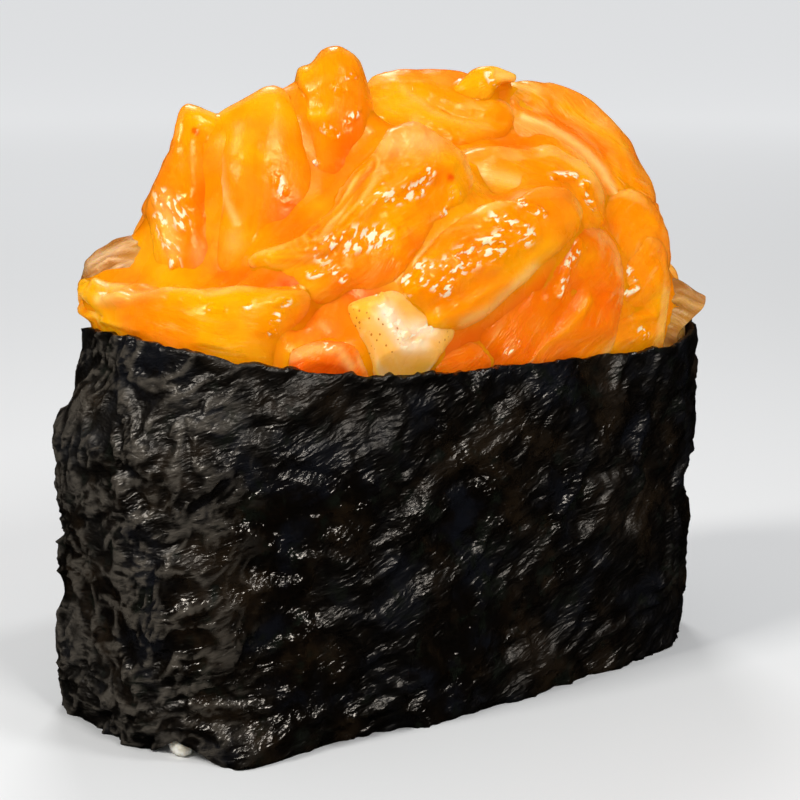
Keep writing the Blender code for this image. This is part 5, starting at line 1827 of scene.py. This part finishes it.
@dataclass
class PressedRice:
    """The rice: a lumpy core, and grains on its underside and under the lifted edge."""

    band: BandShape
    finish: RiceFinish = RiceFinish()
    base: float = 0.7
    top: float = 22.0
    rings: tuple = ((0.7, 0.5), (2.2, 0.0), (5.5, 0.0), (20.5, 0.0), (22.0, 1.2))
    columns: int = 120
    grain_length: float = 5.6
    grain_width: float = 2.5
    grain_height: float = 2.1
    grain_spacing: float = 2.3
    grain_sink: float = 0.25
    grain_tilt: float = 0.25
    grain_density: float = 500000.0
    grain_clear: float = 4.2
    edge_grain_inset: float = 2.7
    edge_grain_shift: float = -0.008
    edge_grain_height: float = 0.55
    edge_grain_turn: float = math.radians(30.0)
    voxel: float = 0.5
    floor: float = 0.4
    top_clear: float = 0.1
    under_height: float = 1.0
    lump_size: float = 2.6
    lump_depth: float = 0.35
    lump_middle: float = 0.6
    seed: int = 11

    def build(self) -> Thing:
        """Make the core with its lumps, and set the grains on it."""
        share = np.arange(self.columns) / self.columns
        rows = []
        for height, extra in self.rings:
            x, y = self.band.oval(self.band.plan_angle(share), self.band.inner_limit(share, height) + extra)
            rows.append(np.column_stack([x, y, np.full(len(x), height)]))
        thing = link_object("rice_grains", ring_mesh("rice", rows, self.base, self.top))
        remesh(thing, self.voxel, 2)
        points = read_points(thing.data)
        lump = layered_noise(points / self.lump_size, self.seed, 2)
        moved = points + read_normals(thing.data) * (self.lump_depth * (lump - self.lump_middle))[:, None]
        moved[:, 2] = np.clip(moved[:, 2], self.floor, self.top - self.top_clear)
        write_points(thing.data, moved)
        clear = self.band.oval_share(points, self.grain_clear) < 1.0
        low = points[:, 2] < self.base + self.under_height
        write_values(thing.data, "under", (low & clear).astype(float))
        self.set_grains(thing)
        return thing

    def set_grains(self, thing: Thing) -> None:
        """Scatter grains over the underside, and lay one under the lifted edge."""
        recipe = Recipe("rice_grains", {
            "Spacing": self.grain_spacing * MM,
            "Grain Length": self.grain_length * MM,
            "Grain Width": self.grain_width * MM,
            "Grain Height": self.grain_height * MM,
            "Sink": self.grain_sink * MM,
            "Seed": self.seed,
            "Material": self.finish.material(),
        })
        wires = recipe.wires
        ball = wires.add("GeometryNodeMeshUVSphere", Segments=12, Rings=8, Radius=0.5).outputs[0]
        size = wires.add("ShaderNodeCombineXYZ", X=recipe["Grain Length"], Y=recipe["Grain Width"],
                         Z=recipe["Grain Height"])
        grain = wires.add("GeometryNodeTransform", Geometry=ball, Scale=size.outputs[0]).outputs[0]
        spread = wires.add("GeometryNodeDistributePointsOnFaces", {"distribute_method": "POISSON"},
                           Mesh=recipe["Geometry"], Distance_Min=recipe["Spacing"], Seed=recipe["Seed"],
                           Density_Max=self.grain_density, Density_Factor=wires.kept("under"))
        turn = wires.add("FunctionNodeRandomValue", {"data_type": "FLOAT_VECTOR"}, Seed=recipe["Seed"])
        for number, side in enumerate((-1.0, 1.0)):
            wires.feed(turn, number, (side * self.grain_tilt, side * self.grain_tilt, side * math.pi))
        sink = wires.add("ShaderNodeCombineXYZ", Z=recipe["Sink"]).outputs[0]
        places = wires.add("GeometryNodeSetPosition", Geometry=spread.outputs[0], Offset=sink).outputs[0]
        grains = wires.add("GeometryNodeInstanceOnPoints", Points=places, Instance=grain,
                           Rotation=turn.outputs[0]).outputs[0]
        joined = wires.add("GeometryNodeJoinGeometry")
        real = wires.add("GeometryNodeRealizeInstances", Geometry=grains).outputs[0]
        for part in (self.edge_grain(wires, grain), real, recipe["Geometry"]):
            wires.feed(joined, 0, part)
        spot = wires.add("GeometryNodeInputPosition").outputs[0]
        flat = wires.vector("MAXIMUM", spot, (-1.0, -1.0, 0.0))
        pressed = wires.add("GeometryNodeSetPosition", Geometry=joined.outputs[0], Position=flat).outputs[0]
        recipe.run(thing, pressed)
        finish_piece(thing, recipe.inputs["Material"], Slot.RICE, "rice")

    def edge_grain(self, wires: Wiring, grain: Socket) -> Socket:
        """The grain that peeks out under the band's lifted edge."""
        angle = self.band.plan_angle(self.band.lift_place + self.edge_grain_shift)
        x, y = self.band.oval(angle, self.edge_grain_inset)
        x_out, y_out = self.band.oval(angle, 0.0)
        aim = math.atan2(y_out - y, x_out - x) + self.edge_grain_turn
        place = (float(x) * MM, float(y) * MM, self.edge_grain_height * MM)
        return wires.add("GeometryNodeTransform", Geometry=grain, Rotation=(0.0, 0.0, aim),
                         Translation=place).outputs[0]


# Floor, lights and camera

@dataclass(frozen=True)
class Lamp:
    """A soft square light: degrees round from the front and above the floor, metres, watts and colour."""

    name: str
    azimuth: float
    height: float
    away: float
    size: float
    power: float
    colour: tuple = (1.0, 1.0, 1.0)

    def build(self, target: Vector) -> None:
        """Add the light, aimed at a place."""
        data = bpy.data.lights.new(self.name, "AREA")
        data.size = self.size
        data.energy = self.power
        data.color = self.colour
        lamp = link_object(self.name, data)
        turn, rise = math.radians(self.azimuth), math.radians(self.height)
        back = Vector((math.sin(turn) * math.cos(rise), -math.cos(turn) * math.cos(rise), math.sin(rise)))
        lamp.matrix_world = (Matrix.Translation(target + back * self.away)
                             @ back.to_track_quat("Z", "Y").to_matrix().to_4x4())


@dataclass
class Studio:
    """Pale floor, soft lights, and the camera."""

    azimuth: float = math.radians(-38.0)
    pitch: float = math.radians(11.5)
    distance: float = 181.94
    target: tuple = (0.75, 24.79)
    lens: float = 90.0
    sensor: float = 36.0
    aim: tuple = (0.0, 0.0, 0.03)
    lamps: tuple = (
        Lamp("key", -90.0, 42.0, 0.5, 0.10, 1.35, (1.0, 0.98, 0.94)),
        Lamp("front", -6.0, 38.0, 0.5, 0.11, 0.90, (1.0, 0.98, 0.95)),
        Lamp("top", 25.0, 66.0, 0.5, 0.06, 0.45),
        Lamp("back", 150.0, 45.0, 0.6, 0.16, 0.9),
    )
    air: tuple = (0.97, 0.98, 1.0, 1.0)
    air_strength: float = 0.40
    floor_reach: float = 40.0
    floor_colour: tuple = (0.74, 0.75, 0.76, 1.0)
    floor_roughness: float = 0.6
    far_glow: tuple = (0.50, 0.505, 0.51, 1.0)
    far_edge: tuple = (0.15, 0.9)

    def clear(self) -> None:
        """Remove what a new file starts with."""
        kept = set(frame["nodes"].values()) | set(frame["bodies"].values())
        for thing in list(bpy.data.objects):
            if thing not in kept:
                bpy.data.objects.remove(thing, do_unlink=True)

    def camera(self) -> None:
        """Put the camera at the photograph's viewing angle."""
        right = Vector((math.cos(self.azimuth), math.sin(self.azimuth), 0.0))
        ahead = Vector((-math.sin(self.azimuth), math.cos(self.azimuth), 0.0))
        look = ahead * math.cos(self.pitch) - Vector((0.0, 0.0, math.sin(self.pitch)))
        above = ahead * math.sin(self.pitch) + Vector((0.0, 0.0, math.cos(self.pitch)))
        target = right * self.target[0] + Vector((0.0, 0.0, self.target[1]))
        data = bpy.data.cameras.new("camera")
        data.lens = self.lens
        data.sensor_width = self.sensor
        data.clip_start = 0.01
        data.clip_end = 100.0
        camera = link_object("camera", data)
        turn = Matrix((right, above, -look)).transposed()
        camera.matrix_world = Matrix.Translation((target - look * self.distance) * MM) @ turn.to_4x4()
        bpy.context.scene.camera = camera

    def floor(self) -> None:
        """Make the floor, which brightens into the distance."""
        reach = self.floor_reach / MM
        corners = [(x * reach, y * reach, 0.0) for x, y in ((-1, -1), (1, -1), (1, 1), (-1, 1))]
        floor = link_object("floor", mesh_of("floor", corners, [(0, 1, 2, 3)]))
        material, wires, shader = start_material("floor")
        far = wires.span(wires.length(wires.object_place()), *self.far_edge)
        wires.fill(shader, Base_Color=self.floor_colour, Roughness=self.floor_roughness,
                   Emission_Color=wires.mix(far, (0.0, 0.0, 0.0, 1.0), self.far_glow), Emission_Strength=1.0)
        floor.data.materials.append(material)
        floor.visible_glossy = False

    def build(self) -> None:
        """Make the air's light, the floor, the lamps and the camera."""
        scene = bpy.context.scene
        scene.view_settings.view_transform = "Standard"
        scene.world = bpy.data.worlds.new("studio")
        scene.world.use_nodes = True
        scene.world.cycles_visibility.glossy = False
        shade = scene.world.node_tree.nodes["Background"]
        shade.inputs["Color"].default_value = self.air
        shade.inputs["Strength"].default_value = self.air_strength
        self.floor()
        for lamp in self.lamps:
            lamp.build(Vector(self.aim))
        self.camera()


def main() -> None:
    """Build the studio, then the band, the salmon, the sauce and the rice."""
    logging.basicConfig(level=logging.INFO, format="%(message)s")
    studio = Studio()
    studio.clear()
    studio.build()
    band = BandShape()
    NoriBand(band).build()
    maker = SalmonSlices(band)
    slices = maker.build()
    heap = SalmonHeap(band).build(maker, slices)
    sauce = Sauce().build([*slices, heap], band)
    maker.mark_hollows([*slices, heap, sauce], sauce)
    materials = {finish.slot: finish.material() for finish in FLESH_FINISHES}
    finish_piece(heap, materials[HEAP_SHAPE.slot], HEAP_SHAPE.slot, HEAP_SHAPE.name)
    for shape, thing in zip(SLICES, slices):
        finish_piece(thing, materials[shape.slot], shape.slot, shape.name)
    finish_piece(sauce, SauceFinish().material(), Slot.SALMON)
    PressedRice(band).build()


if __name__ == "__main__":
    main()
